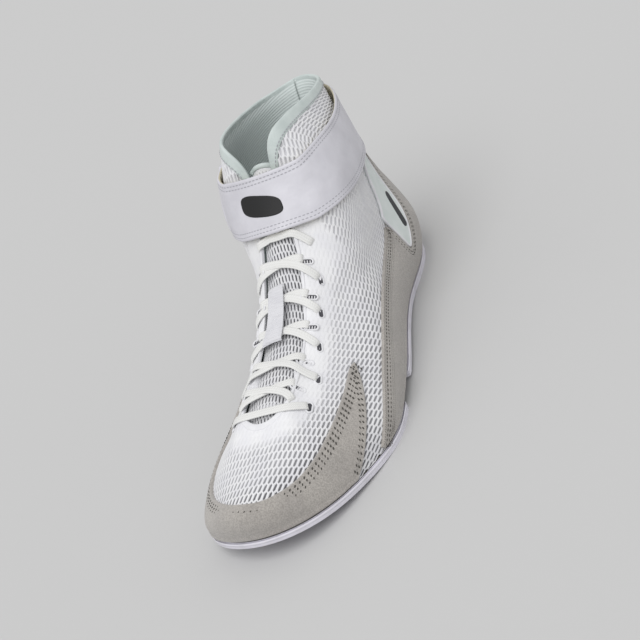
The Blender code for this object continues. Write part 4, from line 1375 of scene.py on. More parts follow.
def lace_run(start, middle, stop, arch, dive_start, dive_stop, width, thickness):
    """Lace from start to stop, both (rib, c), past the middle rib, its ends let down into the eyelets."""
    t = np.linspace(0, 1, 56)
    bulge = middle - (start[0] + stop[0]) / 2
    u = start[0] + (stop[0] - start[0]) * t + 4 * bulge * t * (1 - t)
    c = start[1] + (stop[1] - start[1]) * t
    normal = unit(eased(skin_normal(u, c), 60))
    skin = skin_at(u, c)
    way = running(skin)
    lift = LACE_LIFT - 0.0003 + arch * np.exp(-((t - 0.5) / 0.13) ** 2)
    lift -= dive_start * (1 - rounded(way, DIVE_LENGTH))
    lift -= dive_stop * (1 - rounded(way[-1] - way, DIVE_LENGTH))
    spine = skin + normal * lift[:, None]
    for _ in range(220):
        spine = eased(spine, 1)
        short = np.clip(lift - ((spine - skin) * normal).sum(1), 0.0, None)
        short[[0, -1]] = 0.0
        spine += normal * short[:, None]
    ahead = heading(spine)
    side = unit(np.cross(normal, ahead))
    return ribbon(spine, np.cross(ahead, side), side, width, thickness)


def joined(name, parts, finish):
    """One mesh of several (points, faces, braid) parts."""
    points, faces, braid = [], [], []
    count = 0
    for p, f, b in parts:
        points.append(p)
        braid.append(b)
        faces += [[count + k for k in face] for face in f]
        count += len(p)
    return piece(name, np.concatenate(points), faces, [finish], {"braid": np.concatenate(braid)})


def run_laces(width, thickness):
    """Bar, five crossings and the half crossing that goes on under the strap."""
    bar = lace_run((BAR_RIB, -BAR_C), BAR_MIDDLE, (BAR_RIB, BAR_C), 0.0, 0.0030, 0.0030, width, thickness)
    dress(joined("lace_bar_braid", [bar], FINISHES["lace"]), "lace_weave", "lace_bar")
    for number, row in enumerate(LACE_ROWS, start=1):
        slot, hole = (row.slot_rib, -row.slot_c), (row.hole_rib, row.hole_c)
        over = lace_run(slot, row.middle_rib, hole, OVER_ARCH, SLOT_DIVE, HOLE_DIVE, width, thickness)
        slot, hole = (row.slot_rib, row.slot_c), (row.hole_rib, -row.hole_c)
        under = lace_run(hole, row.middle_rib, slot, UNDER_ARCH, HOLE_DIVE, SLOT_DIVE, width, thickness)
        made = joined(f"lace_cross_{number}_braid", [under, over], FINISHES["lace"])
        dress(made, "lace_weave", f"lace_cross_{number}")
    over = lace_run((6.07, -0.35), 6.02, (5.52, 1.68), 0.0, 0.0, 0.0018, width, thickness)
    under = lace_run((5.83, -1.25), 6.10, (5.80, 0.60), 0.0, 0.0012, 0.0, width, thickness)
    dress(joined("lace_top_braid", [under, over], FINISHES["lace"]), "lace_weave")


# Eyelet: points round it, its rings from the outside in as (size beyond the slit, height), and the
# length past which short threads cross the slit
EYELET_POINTS = 28
EYELET_RINGS = ((0.0011, 0.0001), (0.0008, 0.0006), (0.0003, 0.0007), (0.0, 0.0003), (-0.0001, 0.0002))
LONG_SLIT = 0.006
# Eyelets: place as in skin_at, length and width of the slit, its turn off the rib's direction
Eyelet = namedtuple("Eyelet", "rib c length width turn")
EYELETS = [
    Eyelet(8.98, 1.35, 0.0080, 0.0020, 1.45),
    Eyelet(8.22, 1.38, 0.0084, 0.0022, 1.5),
    Eyelet(7.35, 1.42, 0.0084, 0.0022, 1.5),
    Eyelet(6.75, 1.38, 0.0084, 0.0022, 1.5),
    Eyelet(6.17, 1.30, 0.0084, 0.0022, 1.5),
]
EYELETS += [Eyelet(row.hole_rib, row.hole_c + 0.05, 0.0052, 0.0024, 0.2) for row in LACE_ROWS[1:]]
EYELETS += [Eyelet(BAR_RIB, BAR_C + 0.05, 0.0052, 0.0024, 0.2)]


def eyelet(u, c, length, width, turn):
    """Pressed rim with a dark slit in it, lying on the upper beside the throat."""
    round_it = np.linspace(0, 2 * np.pi, EYELET_POINTS, endpoint=False)
    centre, normal = skin_at(u, c), skin_normal(u, c)
    along = unit(skin_at(u + 0.05, c) - centre)
    across = np.cross(normal, along)
    a, b = np.cos(turn) * along + np.sin(turn) * across, np.cos(turn) * across - np.sin(turn) * along
    rings = []
    for size, height in EYELET_RINGS:
        x = np.sign(np.cos(round_it)) * (length / 2 - width / 2) + np.cos(round_it) * (width / 2 + size)
        y = np.sin(round_it) * (width / 2 + size)
        rings.append(centre + normal * height + x[:, None] * a + y[:, None] * b)
    count = len(EYELET_RINGS) * EYELET_POINTS
    faces = [list(f) for f in quads(len(EYELET_RINGS), EYELET_POINTS, wrap_columns=True)]
    faces += [list(range(count - EYELET_POINTS, count))]
    threads = np.linspace(-0.36, 0.36, 5) if length > LONG_SLIT else []
    for number, share in enumerate(threads):
        reach = width / 2 * np.array([-1.1, 0.35, 0.35, -1.1])
        x = share * length + 0.00028 * np.array([-1, -1, 1, 1])
        rings.append(centre + normal * 0.00062 + x[:, None] * a + reach[:, None] * b)
        faces.append([count + 4 * number + k for k in range(4)])
    return np.concatenate(rings), faces


def punch_eyelets():
    """Every eyelet on both sides, as one piece: white rims, dark slits."""
    dark = range((len(EYELET_RINGS) - 2) * EYELET_POINTS, (len(EYELET_RINGS) - 1) * EYELET_POINTS + 1)
    points, faces, picks = [], [], []
    for row in EYELETS:
        for side in (1, -1):
            p, f = eyelet(row.rib, row.c * side, row.length, row.width, row.turn * side)
            start = sum(len(q) for q in points)
            faces += [[start + k for k in face] for face in f]
            picks += [int(number in dark) for number in range(len(f))]
            points.append(p)
    finishes = [FINISHES["white"], FINISHES["slit"]]
    dress(piece("eyelets", np.concatenate(points), faces, finishes, None, picks, False), "smooth_synthetic")


def lay_keeper():
    """Ribbed webbing tab over two rows of lace."""
    u = np.linspace(KEEPER_TOP + 0.06, KEEPER_BOTTOM - 0.09, 140)[:, None]
    c = (spread(12, 0.12) * 0.88 * (KEEPER_SIDES[1] - KEEPER_SIDES[0]) + KEEPER_SIDES[0] + 0.02)[None, :]
    u, c = np.broadcast_arrays(u, c)
    edge = np.clip(np.minimum(u - KEEPER_TOP, KEEPER_BOTTOM - u) / 0.16, 0, 1)
    skin, normal = skin_at(u, c), skin_normal(u, c)
    ribs = 0.00014 * np.cos(2 * np.pi * (u - KEEPER_TOP) / 0.055)
    lift = KEEPER_LIFT * (0.25 + 0.75 * edge * edge * (3 - 2 * edge))
    share = rounded(edge_distance(skin), 0.0007)
    top = skin + (lift + KEEPER_THICK * (0.5 + 0.5 * share) + ribs)[..., None] * normal
    bottom = skin + (lift + KEEPER_THICK * (0.5 - 0.5 * share))[..., None] * normal
    dress(slab("lace_keeper_tape", top, bottom, [FINISHES["tape"]]), "smooth_synthetic", "lace_keeper")


# Sole: points across a unit's end, step of its cuts, normal's rise on level faces, sharp angle in radians
END_POINTS = 39
CUT_STEP = 0.003
LEVEL_SLOPE = 0.8
SHARP_FROM = 0.7


def sole_profile():
    """Side of the rubber from the floor up, its corners rounded."""
    rows = np.array([(row.rise * BOARD_TOP, row.out * SOLE_RIM) for row in SOLE_SIDE] + [(BOARD_TOP, GAP)])
    place = np.linspace(0, len(rows) - 1, (len(rows) - 1) * 6 + 1)
    fine = np.stack([np.interp(place, range(len(rows)), rows[:, k]) for k in range(2)], 1)
    return eased(fine, 4)


def unit_ring(ribs, bow):
    """Plan outline of a sole unit, its outward directions and which points lie on its end at the waist."""
    plan = rungs(ribs, bow)[..., :2]
    tip_first = ribs[0] == 0.0
    across = np.linspace(0, 4, END_POINTS + 2)
    open_end = plan[-1] if tip_first else plan[0]
    end = np.stack([np.interp(across, range(5), open_end[:, k]) for k in range(2)], 1)
    if tip_first:
        ring = np.concatenate([plan[:, 4], end[-2:0:-1], plan[:0:-1, 0]])
    else:
        ring = np.concatenate([end[1:-1], plan[:, 4], plan[-2::-1, 0]])
    number = np.arange(len(ring)) - (len(ribs) if tip_first else 0)
    ahead = np.roll(ring, -1, 0) - np.roll(ring, 1, 0)
    outward = unit(np.stack([-ahead[:, 1], ahead[:, 0]], 1))
    if (outward * (ring - ring.mean(0))).sum() < 0:
        outward = -outward
    return ring, outward, (number >= 0) & (number < END_POINTS)


def unit_body(name, ring, outward, is_end):
    """Rubber unit of the solid's plan and side, cut across often enough for its tread to bend."""
    lift = sole_lift(along_foot(ring[:, 1]))
    loops = []
    for level, out in sole_profile():
        height = np.where(is_end & (level > OUTSOLE_TOP), OUTSOLE_TOP, level)
        loops.append(np.column_stack([ring + outward * out, height + lift]))
    loops.append(np.column_stack([ring + outward * GAP, np.full(len(ring), OUTSOLE_TOP) + lift]))
    data = bpy.data.meshes.new(name)
    data.from_pydata(np.concatenate(loops).tolist(), [], tube_faces(len(loops), len(ring)))
    mesh = bmesh.new()
    mesh.from_mesh(data)
    mesh.faces.ensure_lookup_table()
    caps = [mesh.faces[len(mesh.faces) - 2], mesh.faces[len(mesh.faces) - 1]]
    bmesh.ops.recalc_face_normals(mesh, faces=mesh.faces)
    bmesh.ops.triangulate(mesh, faces=caps)
    for y in np.arange(ring[:, 1].min() + CUT_STEP, ring[:, 1].max(), CUT_STEP):
        geometry = list(mesh.verts) + list(mesh.edges) + list(mesh.faces)
        bmesh.ops.bisect_plane(mesh, geom=geometry, plane_co=(0, y, 0), plane_no=(0, 1, 0), dist=1e-6)
    mesh.normal_update()
    for vert in mesh.verts:
        slopes = [face.normal.z for face in vert.link_faces]
        lifted = float(sole_lift(along_foot(vert.co.y)))
        if max(slopes) < -LEVEL_SLOPE:
            vert.co.z = lifted
        elif min(slopes) > LEVEL_SLOPE:
            vert.co.z = OUTSOLE_TOP + lifted
    mesh.to_mesh(data)
    mesh.free()
    data.materials.append(FINISHES["rubber"])
    data.shade_smooth()
    return linked(name, data)


def press_grooves(made, grooves):
    """Cuts the tread grooves into a unit, each along the bent underside."""
    boxes = bmesh.new()
    for groove in grooves:
        rise = sole_lift(groove.along + 0.002) - sole_lift(groove.along - 0.002)
        turned = Matrix.Rotation(-np.arctan2(rise, 0.004 * LAST_LENGTH), 4, "X")
        place = Matrix.Translation((
            swing(groove.along) + 0.01 * BALL_WIDTH, HEEL_REST - groove.along * LAST_LENGTH,
            float(sole_lift(groove.along))))
        size = Matrix.Diagonal((groove.width * BALL_WIDTH, GROOVE_WIDTH, 2 * GROOVE_DEPTH, 1))
        bmesh.ops.create_cube(boxes, size=1.0, matrix=place @ turned @ size)
    data = bpy.data.meshes.new("grooves")
    boxes.to_mesh(data)
    boxes.free()
    cutter = linked("grooves", data)
    cut = made.modifiers.new("Grooves", "BOOLEAN")
    cut.operation = "DIFFERENCE"
    cut.object = cutter
    bake(made)
    bpy.data.objects.remove(cutter)
    made.data.set_sharp_from_angle(angle=SHARP_FROM)


def sole_piece(name, ribs, bow, grooves, node):
    """Rubber unit with its tread."""
    made = unit_body(name, *unit_ring(ribs, bow))
    press_grooves(made, grooves)
    return dress(made, "rubber", node)


def bake(made):
    """Puts the evaluated mesh in place of the object's own and drops its modifiers."""
    bpy.context.view_layer.update()
    ready = made.evaluated_get(bpy.context.evaluated_depsgraph_get())
    data = bpy.data.meshes.new_from_object(ready)
    made.modifiers.clear()
    made.data = data


def mould_soles():
    """Heel and forefoot units."""
    heel = np.linspace(0, HEEL_STOP, 90)
    sole_piece("outsole_heel_rubber", heel, -SOLE_BOW, HEEL_GROOVES, "outsole_heel")
    forefoot = np.linspace(FOREFOOT_START, RIBS / 2, 90)
    sole_piece("outsole_forefoot_rubber", forefoot, SOLE_BOW, FOREFOOT_GROOVES, "outsole_forefoot")


def finish_inner():
    """New finishes for the insole and the board, whose solids are shown as they are."""
    for node, finish, slot in (("insole", "foam", "foam"), ("bottom_board", "board", "suede")):
        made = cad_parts[node]
        made.data.materials.clear()
        made.data.materials.append(FINISHES[finish])


# Stitches: one Geometry Nodes tree lays a flattened bead every pitch along hidden guide lines
STITCH_TREE = "stitch_line"
STITCH_INPUTS = {"Pitch": 0.0024, "Length": 0.0018, "Width": 0.0006, "Height": 0.0005, "Turn": 0.0}


def grow_stitch_tree():
    """Tree from guide edges with an up direction to a row of stitches, realized and given its finish."""
    tree = bpy.data.node_groups.new(STITCH_TREE, "GeometryNodeTree")
    face = tree.interface
    face.new_socket("Geometry", in_out="INPUT", socket_type="NodeSocketGeometry")
    for label, value in STITCH_INPUTS.items():
        face.new_socket(label, in_out="INPUT", socket_type="NodeSocketFloat").default_value = value
    face.new_socket("Thread", in_out="INPUT", socket_type="NodeSocketMaterial")
    face.new_socket("Geometry", in_out="OUTPUT", socket_type="NodeSocketGeometry")
    given = add_node(tree, "NodeGroupInput").outputs
    up = add_node(tree, "GeometryNodeInputNamedAttribute", {"Name": "up"}, data_type="FLOAT_VECTOR")
    curve = add_node(tree, "GeometryNodeMeshToCurve", {"Mesh": given["Geometry"]}).outputs["Curve"]
    even = add_node(
        tree, "GeometryNodeResampleCurve", {"Curve": curve, "Length": given["Pitch"]}, mode="LENGTH")
    tangent = add_node(tree, "GeometryNodeInputTangent").outputs["Tangent"]
    aim = add_node(
        tree, "FunctionNodeAxesToRotation",
        {"Primary Axis": up.outputs["Attribute"], "Secondary Axis": tangent},
        primary_axis="Z", secondary_axis="X").outputs["Rotation"]
    spin = add_node(tree, "ShaderNodeCombineXYZ", {"Z": given["Turn"]}).outputs["Vector"]
    spin = add_node(tree, "FunctionNodeEulerToRotation", {"Euler": spin}).outputs["Rotation"]
    turned = add_node(
        tree, "FunctionNodeRotateRotation", {"Rotation": aim, "Rotate By": spin}, rotation_space="LOCAL")
    bead = add_node(
        tree, "GeometryNodeMeshUVSphere", {"Segments": 10, "Rings": 6, "Radius": 0.5}).outputs["Mesh"]
    size = add_node(
        tree, "ShaderNodeCombineXYZ", {"X": given["Length"], "Y": given["Width"], "Z": given["Height"]})
    bead = add_node(
        tree, "GeometryNodeTransform", {"Geometry": bead, "Scale": size.outputs["Vector"]})
    row = add_node(
        tree, "GeometryNodeInstanceOnPoints",
        {"Points": even.outputs["Curve"], "Instance": bead.outputs["Geometry"],
         "Rotation": turned.outputs["Rotation"]}).outputs["Instances"]
    row = add_node(tree, "GeometryNodeRealizeInstances", {"Geometry": row}).outputs["Geometry"]
    row = add_node(tree, "GeometryNodeSetShadeSmooth", {"Geometry": row}).outputs["Geometry"]
    row = add_node(tree, "GeometryNodeSetMaterial", {"Geometry": row, "Material": given["Thread"]})
    add_node(tree, "NodeGroupOutput", {"Geometry": row.outputs["Geometry"]})
    return tree


def stitch(name, lines, finish, slot, **sizes):
    """Stitches along lines, each an array of points with an array of up directions."""
    points = np.concatenate([line for line, _ in lines])
    ups = np.concatenate([up for _, up in lines])
    edges, start = [], 0
    for line, _ in lines:
        edges += [(start + k, start + k + 1) for k in range(len(line) - 1)]
        start += len(line)
    data = bpy.data.meshes.new(name)
    data.from_pydata(points.tolist(), edges, [])
    layer = data.attributes.new("up", "FLOAT_VECTOR", "POINT")
    layer.data.foreach_set("vector", ups.astype(np.float32).ravel())
    made = linked(name, data)
    grown = made.modifiers.new("Stitches", "NODES")
    grown.node_group = bpy.data.node_groups[STITCH_TREE]
    for item in grown.node_group.interface.items_tree:
        if item.in_out == "INPUT" and item.name in sizes:
            grown[item.identifier] = sizes[item.name]
        elif item.in_out == "INPUT" and item.name == "Thread":
            grown[item.identifier] = finish
    bake(made)
    if not made.data.polygons:
        raise RuntimeError(name + " came out empty")
    return dress(made, slot)


def edge_line(u, v, way, lift):
    """Line at a way beside an edge on the upper, lifted, with its up directions."""
    u, v = inset(u, v, way)
    normal = upper_normal(u, v)
    return upper_at(u, v) + lift * normal, normal


# Edges that stitches follow: steps a cut, rounding passes, steps left out at both ends
EDGE_FINE, EDGE_PASSES, EDGE_SKIP = 20, 60, 4


def overlay_edge(cuts):
    """Upper edge of an overlay, short of its ends, as ribs and heights."""
    columns = soft_cuts(cuts, EDGE_FINE, EDGE_PASSES)[EDGE_SKIP:-EDGE_SKIP]
    return columns[:, 2], columns[:, 3]


# Piping: width and thickness, lift. Bar: length, width, its centre, lower and upper place, its lifts
PIPING, PIPING_LIFT = (0.0015, 0.0013), 0.0013
BAR_LENGTH, BAR_WIDTH = 0.0240, 0.0058
BAR_PLACES = (2.42, 0.336), (2.62, 0.262), (2.22, 0.410)
BAR_LIFT, BAR_RISE, BAR_SUNK = 0.00155, 0.00012, 0.0012


def print_panels():
    """White piping round each mint panel and a plain straight charcoal bar, its ends rounded, in it."""
    edge = soft_cuts(SIDE_PANEL, PANEL_GRID.fine, PANEL_GRID.passes)
    share = np.linspace(0, 1, 16)[1:-1]
    close = edge[0, 2:] + (edge[0, :2] - edge[0, 2:]) * share[:, None]
    ring_u, ring_v = np.concatenate([edge[:, :2], edge[::-1, 2:], close, edge[:3, :2]]).T
    for side, label in ((1, "lateral"), (-1, "medial")):
        u = ring_u if side > 0 else RIBS - ring_u
        up = upper_normal(u, ring_v)
        line = eased(upper_at(u, ring_v) + PIPING_LIFT * up, 8)
        cord = ribbon(line, up, np.cross(up, heading(line)), *PIPING)
        dress(joined("panel_piping_" + label, [cord], FINISHES["white"]), "mint_cloth")
        x, y = spread(30, 0.12)[:, None] * 2 - 1, spread(10, 0.16)[None, :] * 2 - 1
        flat_x = x * BAR_LENGTH / 2
        reach = np.clip((abs(flat_x) - (BAR_LENGTH - BAR_WIDTH) / 2) / (BAR_WIDTH / 2), 0, 1)
        flat_x, flat_y = np.broadcast_arrays(flat_x, y * BAR_WIDTH / 2 * np.sqrt(1 - reach ** 2))
        (centre_u, centre_v), *ends = ((side * rib % RIBS, height) for rib, height in BAR_PLACES)
        start = upper_at(centre_u, centre_v)
        rise = unit(upper_at(*ends[1]) - upper_at(*ends[0]))
        cross_way = np.cross(upper_normal(centre_u, centre_v), rise)
        places_u, places_v = np.full(flat_x.shape, centre_u), np.full(flat_x.shape, centre_v)
        for _ in range(12):
            target = start + flat_x[..., None] * rise + flat_y[..., None] * cross_way
            places_u, places_v = walk(places_u, places_v, target - upper_at(places_u, places_v))
        skin, up = upper_at(places_u, places_v), upper_normal(places_u, places_v)
        lift = BAR_LIFT + BAR_RISE * rounded(edge_distance(skin), 0.0005)
        top, bottom = skin + lift[..., None] * up, skin + BAR_SUNK * up
        bar = slab("panel_bar_" + label, top, bottom, [FINISHES["charcoal"]])
        dress(bar, "mint_cloth")


def strap_line(grid, normal, way, upper_edge):
    """Line along the strap at a way from its lower or upper edge."""
    run = row_ways(grid)
    if upper_edge:
        run = run[:, -1:] - run
    nearest = np.abs(run - way).argmin(1)
    rows = np.arange(len(grid))
    line, up = grid[rows, nearest].copy(), normal[rows, nearest].copy()
    beside = nearest + np.where(nearest + 1 < grid.shape[1], 1, -1)
    off = run[rows, nearest] - way
    gap = run[rows, nearest] - run[rows, beside]
    share = np.clip(off / np.where(abs(gap) < 1e-9, 1.0, gap), -1, 1)
    line += (grid[rows, beside] - grid[rows, nearest]) * share[:, None]
    return eased(line, 6), up


# Lift of the stitches on suede, and the shares of the counter's edge between which its notch is unsewn
ON_SUEDE, OVERCAST_LIFT = 0.00175, 0.0017
NOTCH_FROM, NOTCH_TO = 0.50, 0.53


def sew(strap, strap_up, mark):
    """All rows of stitches; mark holds the sizes of the toe cap's."""
    # The dark stitches on the suede are thread and painted shade of the needle holes together
    dark, pale = FINISHES["dark_thread"], FINISHES["pale_thread"]
    u, v = overlay_edge(TOE_CAP)
    rows = [edge_line(u, v, way, ON_SUEDE) for way in (0.0022, 0.0040, 0.0058)]
    for low_rib, low, high_rib, high in soft_cuts(TOE_CAP, EDGE_FINE, EDGE_PASSES)[[0, -1]]:
        share = np.linspace(0.06, 0.94, 80)
        u, v = low_rib + (high_rib - low_rib) * share, low + (high - low) * share
        if low_rib > RIBS / 2:
            u, v = u[::-1], v[::-1]
        rows += [edge_line(u, v, way, ON_SUEDE) for way in (0.0022, 0.0040)]
    stitch("toe_cap_stitches", rows, dark, "suede", Pitch=mark.pitch, Length=mark.length,
           Width=mark.width, Height=0.0005, Turn=0.7)
    u, v = overlay_edge(HEEL_COUNTER)
    rows = []
    for side in (1, -1):
        for start, stop in ((0, int(NOTCH_FROM * len(u))), (int(NOTCH_TO * len(u)), len(u))):
            ribs = u[start:stop] if side > 0 else (RIBS - u[start:stop])[::-1]
            heights = v[start:stop] if side > 0 else v[start:stop][::-1]
            rows += [edge_line(ribs, heights, way, ON_SUEDE) for way in (0.0024, 0.0042)]
    stitch("counter_stitches", rows, dark, "suede", Pitch=0.0026, Length=0.0017,
           Width=0.0006, Height=0.0005, Turn=0.0)
    start = int(NOTCH_TO * len(u))
    rows = []
    for ribs, heights in ((u[start:], v[start:]), ((RIBS - u[start:])[::-1], v[start:][::-1])):
        rows += [edge_line(ribs, heights, way, OVERCAST_LIFT) for way in (0.0010, 0.0058, 0.0072)]
    stitch("counter_overcast", rows, FINISHES["seam_thread"], "suede", Pitch=0.0013, Length=0.0016,
           Width=0.0005, Height=0.0004, Turn=0.9)
    rows = []
    for way in STRAP_SEAMS:
        for upper_edge in (False, True):
            rows.append(strap_line(strap, strap_up, way, upper_edge))
    stitch("strap_stitches", rows, pale, "smooth_synthetic", Pitch=0.0024, Length=0.0018,
           Width=0.0006, Height=0.0005, Turn=0.0)
    collar, level = np.linspace(-5.4, 5.4, 400), np.full(400, 0.970)
    up = upper_normal(collar, level)
    stitch("collar_stitches", [(upper_at(collar, level) + 0.0008 * up, up)], pale, "mint_cloth",
           Pitch=0.0023, Length=0.0017, Width=0.0005, Height=0.0004, Turn=0.0)


# Plain badge: black rounded patch on the strap's front, bare of any mark, and how square its corners are
BADGE_POWER = 3.2


def badge(name, grid, normal, rows, columns, thickness):
    """Rounded patch printed on part of a grid, by row and column places from 0 to 1."""
    x = spread(40, 0.05)[:, None]
    y = spread(16, 0.10)[None, :]
    x, y = np.broadcast_arrays(x, y)
    a, b = 2 * x - 1, 2 * y - 1
    reach = (abs(a) ** BADGE_POWER + abs(b) ** BADGE_POWER) ** (1 / BADGE_POWER)
    square = np.maximum(abs(a), abs(b))
    a, b = (p * np.where(reach > 1e-6, square / np.maximum(reach, 1e-6), 1.0) for p in (a, b))
    row = (rows[0] + (rows[1] - rows[0]) * (a + 1) / 2) * (grid.shape[0] - 1)
    low = columns[0] + (columns[2] - columns[0]) * (a + 1) / 2
    high = columns[1] + (columns[3] - columns[1]) * (a + 1) / 2
    column = (low + (high - low) * (b + 1) / 2) * (grid.shape[1] - 1)
    i = np.clip(np.floor(row).astype(int), 0, grid.shape[0] - 2)
    k = np.clip(np.floor(column).astype(int), 0, grid.shape[1] - 2)
    skin, up = (sampled(field, i, k, row - i, column - k) for field in (grid, normal))
    top = skin + up * (thickness * rounded(edge_distance(skin), 0.0004) + 0.00002)[..., None]
    dress(slab(name, top, skin - 0.0001 * up, [FINISHES["black"]]), "smooth_synthetic")


# Stage: camera of the photo, floor and studio light
TARGET = Vector((0.0, -0.097, 0.0737))
AZIMUTH, ELEVATION, ROLL = 32.45, 26.34, -32.69
# Picture's side in pixels and how far its centre stands off the camera's axis, fitted to the photo
PICTURE = 640
OFF_CENTRE = (29.99, -42.09)
KEY_FROM = Vector((0.10, -0.52, 0.85))
FLOOR_CODE = "C6C6C6"


def set_camera(lens, away):
    """Camera at the photo's angle and roll, at a distance from its target."""
    a, e, r = (np.radians(x) for x in (AZIMUTH, ELEVATION, ROLL))
    back = Vector((np.sin(a) * np.cos(e), -np.cos(a) * np.cos(e), np.sin(e)))
    right = Vector((np.cos(a), np.sin(a), 0))
    up = back.cross(right)
    across = np.cos(r) * right + np.sin(r) * up
    over = -np.sin(r) * right + np.cos(r) * up
    data = bpy.data.cameras.new("photo_camera")
    data.lens, data.sensor_width = lens, 36.0
    data.shift_x, data.shift_y = (pixels / PICTURE for pixels in OFF_CENTRE)
    data.clip_start, data.clip_end = 0.05, 60.0
    camera = linked("photo_camera", data)
    place = Matrix((across, over, back)).transposed().to_4x4()
    place.translation = TARGET + away * back
    camera.matrix_world = place
    bpy.context.scene.camera = camera


def set_light(key, fill, softness):
    """One broad soft key from the upper left, and an even pale surround."""
    world = bpy.data.worlds.new("studio")
    world.use_nodes = True
    ground = world.node_tree.nodes["Background"]
    ground.inputs["Color"].default_value = (1.0, 1.0, 1.0, 1.0)
    ground.inputs["Strength"].default_value = fill
    bpy.context.scene.world = world
    lamp = bpy.data.lights.new("key", "SUN")
    lamp.energy, lamp.angle = key, np.radians(softness)
    sun = linked("key", lamp)
    sun.rotation_euler = KEY_FROM.to_track_quat("Z", "Y").to_euler()


def lay_floor(code):
    """Wide matt floor of one colour."""
    finish, tree = new_finish("studio_floor", 1.0, Specular_IOR_Level=0.0)
    tree.nodes["Principled BSDF"].inputs["Base Color"].default_value = linear(code)
    points = [(-20, -20, 0), (20, -20, 0), (20, 20, 0), (-20, 20, 0)]
    floor = piece("floor", points, [(0, 1, 2, 3)], [finish], closed=False)


def length_property(label, told, default, low, high, precision=4):
    """Length that a user may change, in metres."""
    return bpy.props.FloatProperty(
        name=label, description=told, default=default, min=low, max=high, unit="LENGTH", precision=precision)


def colour_property(label, told, code):
    """Colour that a user may change, given as an sRGB code."""
    return bpy.props.FloatVectorProperty(
        name=label, description=told, default=linear(code), size=4, min=0.0, max=1.0, subtype="COLOR")


class NetSizes(bpy.types.PropertyGroup):
    """Sizes of the net's cell"""
    across: length_property("Pitch across", "Holes across the foot, centre to centre", 0.0026, 0.0015, 0.006)
    along: length_property("Row spacing", "Rows of holes along the foot", 0.0046, 0.002, 0.01)
    strand: length_property("Strand", "Width of the yarn between two holes", 0.0014, 0.0005, 0.003)
    depth: length_property("Depth", "Ground below the yarn", 0.00038, 0.0001, 0.0005, 5)
    ridge: length_property("Ridge", "Yarn above the upper's surface", 0.00025, 0.0, 0.0006, 5)


class StitchSizes(bpy.types.PropertyGroup):
    """Sizes of the toe cap's stitches"""
    pitch: length_property("Pitch", "Toe cap stitches, centre to centre", 0.0034, 0.001, 0.006)
    length: length_property("Length", "Length of one toe cap stitch", 0.0017, 0.0005, 0.004)
    width: length_property("Width", "Width of one toe cap stitch", 0.0009, 0.0003, 0.002)


class LaceSizes(bpy.types.PropertyGroup):
    """Sizes of the flat lace"""
    width: length_property("Width", "Width of the flat lace", 0.0046, 0.003, 0.009)
    thickness: length_property("Thickness", "Thickness of the flat lace", 0.0012, 0.0005, 0.002)


class ShoeColours(bpy.types.PropertyGroup):
    """Colours of the main materials, each with a second tone that shows in soft patches; the lace's second
    tone is painted shade in its hollows
    """
    net: colour_property("Net", "Yarn of the upper's net", "ECECEE")
    net_shade: colour_property("Net, second tone", "Yarn where it is duller", "E5E5E9")
    suede: colour_property("Suede", "Toe cap and heel counter", "B7B2AC")
    suede_shade: colour_property("Suede, second tone", "Suede where it is rubbed", "ADA8A3")
    mint: colour_property("Mint", "Side panels", "DAE0DF")
    mint_shade: colour_property("Mint, second tone", "Side panels where they are duller", "D2DAD8")
    coated: colour_property("Strap", "Coated synthetic of the strap", "D3D2D9")
    coated_shade: colour_property("Strap, second tone", "Strap where it is duller", "C8C7CE")
    lace: colour_property("Lace", "Raised yarns of the lace", "ECECEA")
    # Painted shade: this tone darkens the hollows between the lace's yarns
    lace_shade: colour_property("Lace, second tone", "Hollows between the lace's yarns", "D6D6D5")
    rubber: colour_property("Rubber", "Both sole units", "E3E1EA")
    rubber_shade: colour_property("Rubber, second tone", "Rubber where it is dulled", "D6D4DC")


class StageSettings(bpy.types.PropertyGroup):
    """Camera and light"""
    lens: bpy.props.FloatProperty(
        name="Lens", description="Focal length on a 36 mm sensor", default=100.79, min=20, max=300)
    away: bpy.props.FloatProperty(
        name="Distance", description="Camera to its target", default=1.0, min=0.3, max=5.0, unit="LENGTH")
    key: bpy.props.FloatProperty(
        name="Key", description="Strength of the key light", default=1.5, min=0, max=20)
    fill: bpy.props.FloatProperty(
        name="Fill", description="Strength of the surround", default=0.66, min=0, max=10)
    softness: bpy.props.FloatProperty(
        name="Softness", description="Width of the key light in degrees", default=50.0, min=0, max=120)


def net_sizes(context):
    """Sizes of the net in the order that net_mesh takes them."""
    net = context.scene.shoe_net
    return net.across, net.along, net.strand, net.depth, net.ridge


class SHOE_OT_finishes(bpy.types.Operator):
    """Mix the finishes and the stitch tree"""
    bl_idname = "shoe.finishes"
    bl_label = "Finishes"

    def execute(self, context):
        mix_finishes(context.scene.shoe_colours)
        grow_stitch_tree()
        return {"FINISHED"}


class SHOE_OT_upper(bpy.types.Operator):
    """Hollow upper with its net, lining and edge tapes"""
    bl_idname = "shoe.upper"
    bl_label = "Upper"

    def execute(self, context):
        upper_shell()
        bind_edges()
        dress(upper_net(net_sizes(context)), "mesh_cloth")
        return {"FINISHED"}


class SHOE_OT_overlays(bpy.types.Operator):
    """Suede toe cap and heel counter, mint side panels"""
    bl_idname = "shoe.overlays"
    bl_label = "Overlays"

    def execute(self, context):
        lay_overlays()
        print_panels()
        return {"FINISHED"}


class SHOE_OT_tongue(bpy.types.Operator):
    """Padded tongue with its own net"""
    bl_idname = "shoe.tongue"
    bl_label = "Tongue"

    def execute(self, context):
        lay_tongue(net_sizes(context))
        return {"FINISHED"}


class SHOE_OT_laces(bpy.types.Operator):
    """Flat laces, eyelets and the keeper"""
    bl_idname = "shoe.laces"
    bl_label = "Laces"

    def execute(self, context):
        lace = context.scene.shoe_lace
        run_laces(lace.width, lace.thickness)
        punch_eyelets()
        lay_keeper()
        return {"FINISHED"}


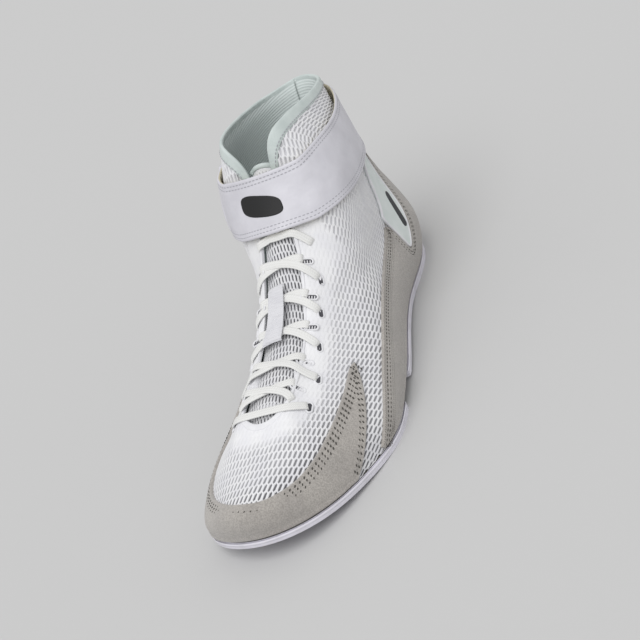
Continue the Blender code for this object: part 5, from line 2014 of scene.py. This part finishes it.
class SHOE_OT_strap(bpy.types.Operator):
    """Ankle strap with its badge, and every row of stitches"""
    bl_idname = "shoe.strap"
    bl_label = "Strap and Stitches"

    def execute(self, context):
        outer, normal = wrap_strap()
        cover_closure()
        badge("strap_badge", outer, normal, (0.635, 0.835), (0.26, 0.55, 0.38, 0.71), 0.0003)
        sew(outer, normal, context.scene.shoe_stitch)
        return {"FINISHED"}


class SHOE_OT_sole(bpy.types.Operator):
    """Split rubber sole, board and insole"""
    bl_idname = "shoe.sole"
    bl_label = "Sole"

    def execute(self, context):
        mould_soles()
        finish_inner()
        return {"FINISHED"}


class SHOE_OT_stage(bpy.types.Operator):
    """Camera of the photo, floor and studio light"""
    bl_idname = "shoe.stage"
    bl_label = "Stage"

    def execute(self, context):
        scene = context.scene
        stage = scene.shoe_stage
        set_camera(stage.lens, stage.away)
        set_light(stage.key, stage.fill, stage.softness)
        lay_floor(FLOOR_CODE)
        scene.view_settings.view_transform = "Standard"
        return {"FINISHED"}


class SHOE_PT_panel(bpy.types.Panel):
    """Sizes and steps of the shoe's dressing"""
    bl_idname = "SHOE_PT_panel"
    bl_label = "Wrestling Shoe"
    bl_space_type = "VIEW_3D"
    bl_region_type = "UI"
    bl_category = "Wrestling Shoe"

    def draw(self, context):
        scene = context.scene
        for name, kind in GROUPS.items():
            box = self.layout.box()
            box.label(text=name.replace("shoe_", "").capitalize())
            for key in kind.__annotations__:
                box.prop(getattr(scene, name), key)
        for step in STEPS:
            self.layout.operator("shoe." + step)


GROUPS = {
    "shoe_net": NetSizes, "shoe_stitch": StitchSizes, "shoe_lace": LaceSizes, "shoe_colours": ShoeColours,
    "shoe_stage": StageSettings,
}
STEPS = ["finishes", "upper", "overlays", "tongue", "laces", "strap", "sole", "stage"]
CLASSES = [
    SHOE_OT_finishes, SHOE_OT_upper, SHOE_OT_overlays, SHOE_OT_tongue, SHOE_OT_laces, SHOE_OT_strap,
    SHOE_OT_sole, SHOE_OT_stage, SHOE_PT_panel,
]


def register():
    """Adds the panel, its operators and their properties."""
    for cls in list(GROUPS.values()) + CLASSES:
        bpy.utils.register_class(cls)
    for name, cls in GROUPS.items():
        setattr(bpy.types.Scene, name, bpy.props.PointerProperty(type=cls))


def unregister():
    """Takes them away again."""
    for name in GROUPS:
        delattr(bpy.types.Scene, name)
    for cls in reversed(list(GROUPS.values()) + CLASSES):
        bpy.utils.unregister_class(cls)


def main():
    """Runs every step."""
    register()
    for step in STEPS:
        getattr(bpy.ops.shoe, step)()


if __name__ == "__main__":
    main()
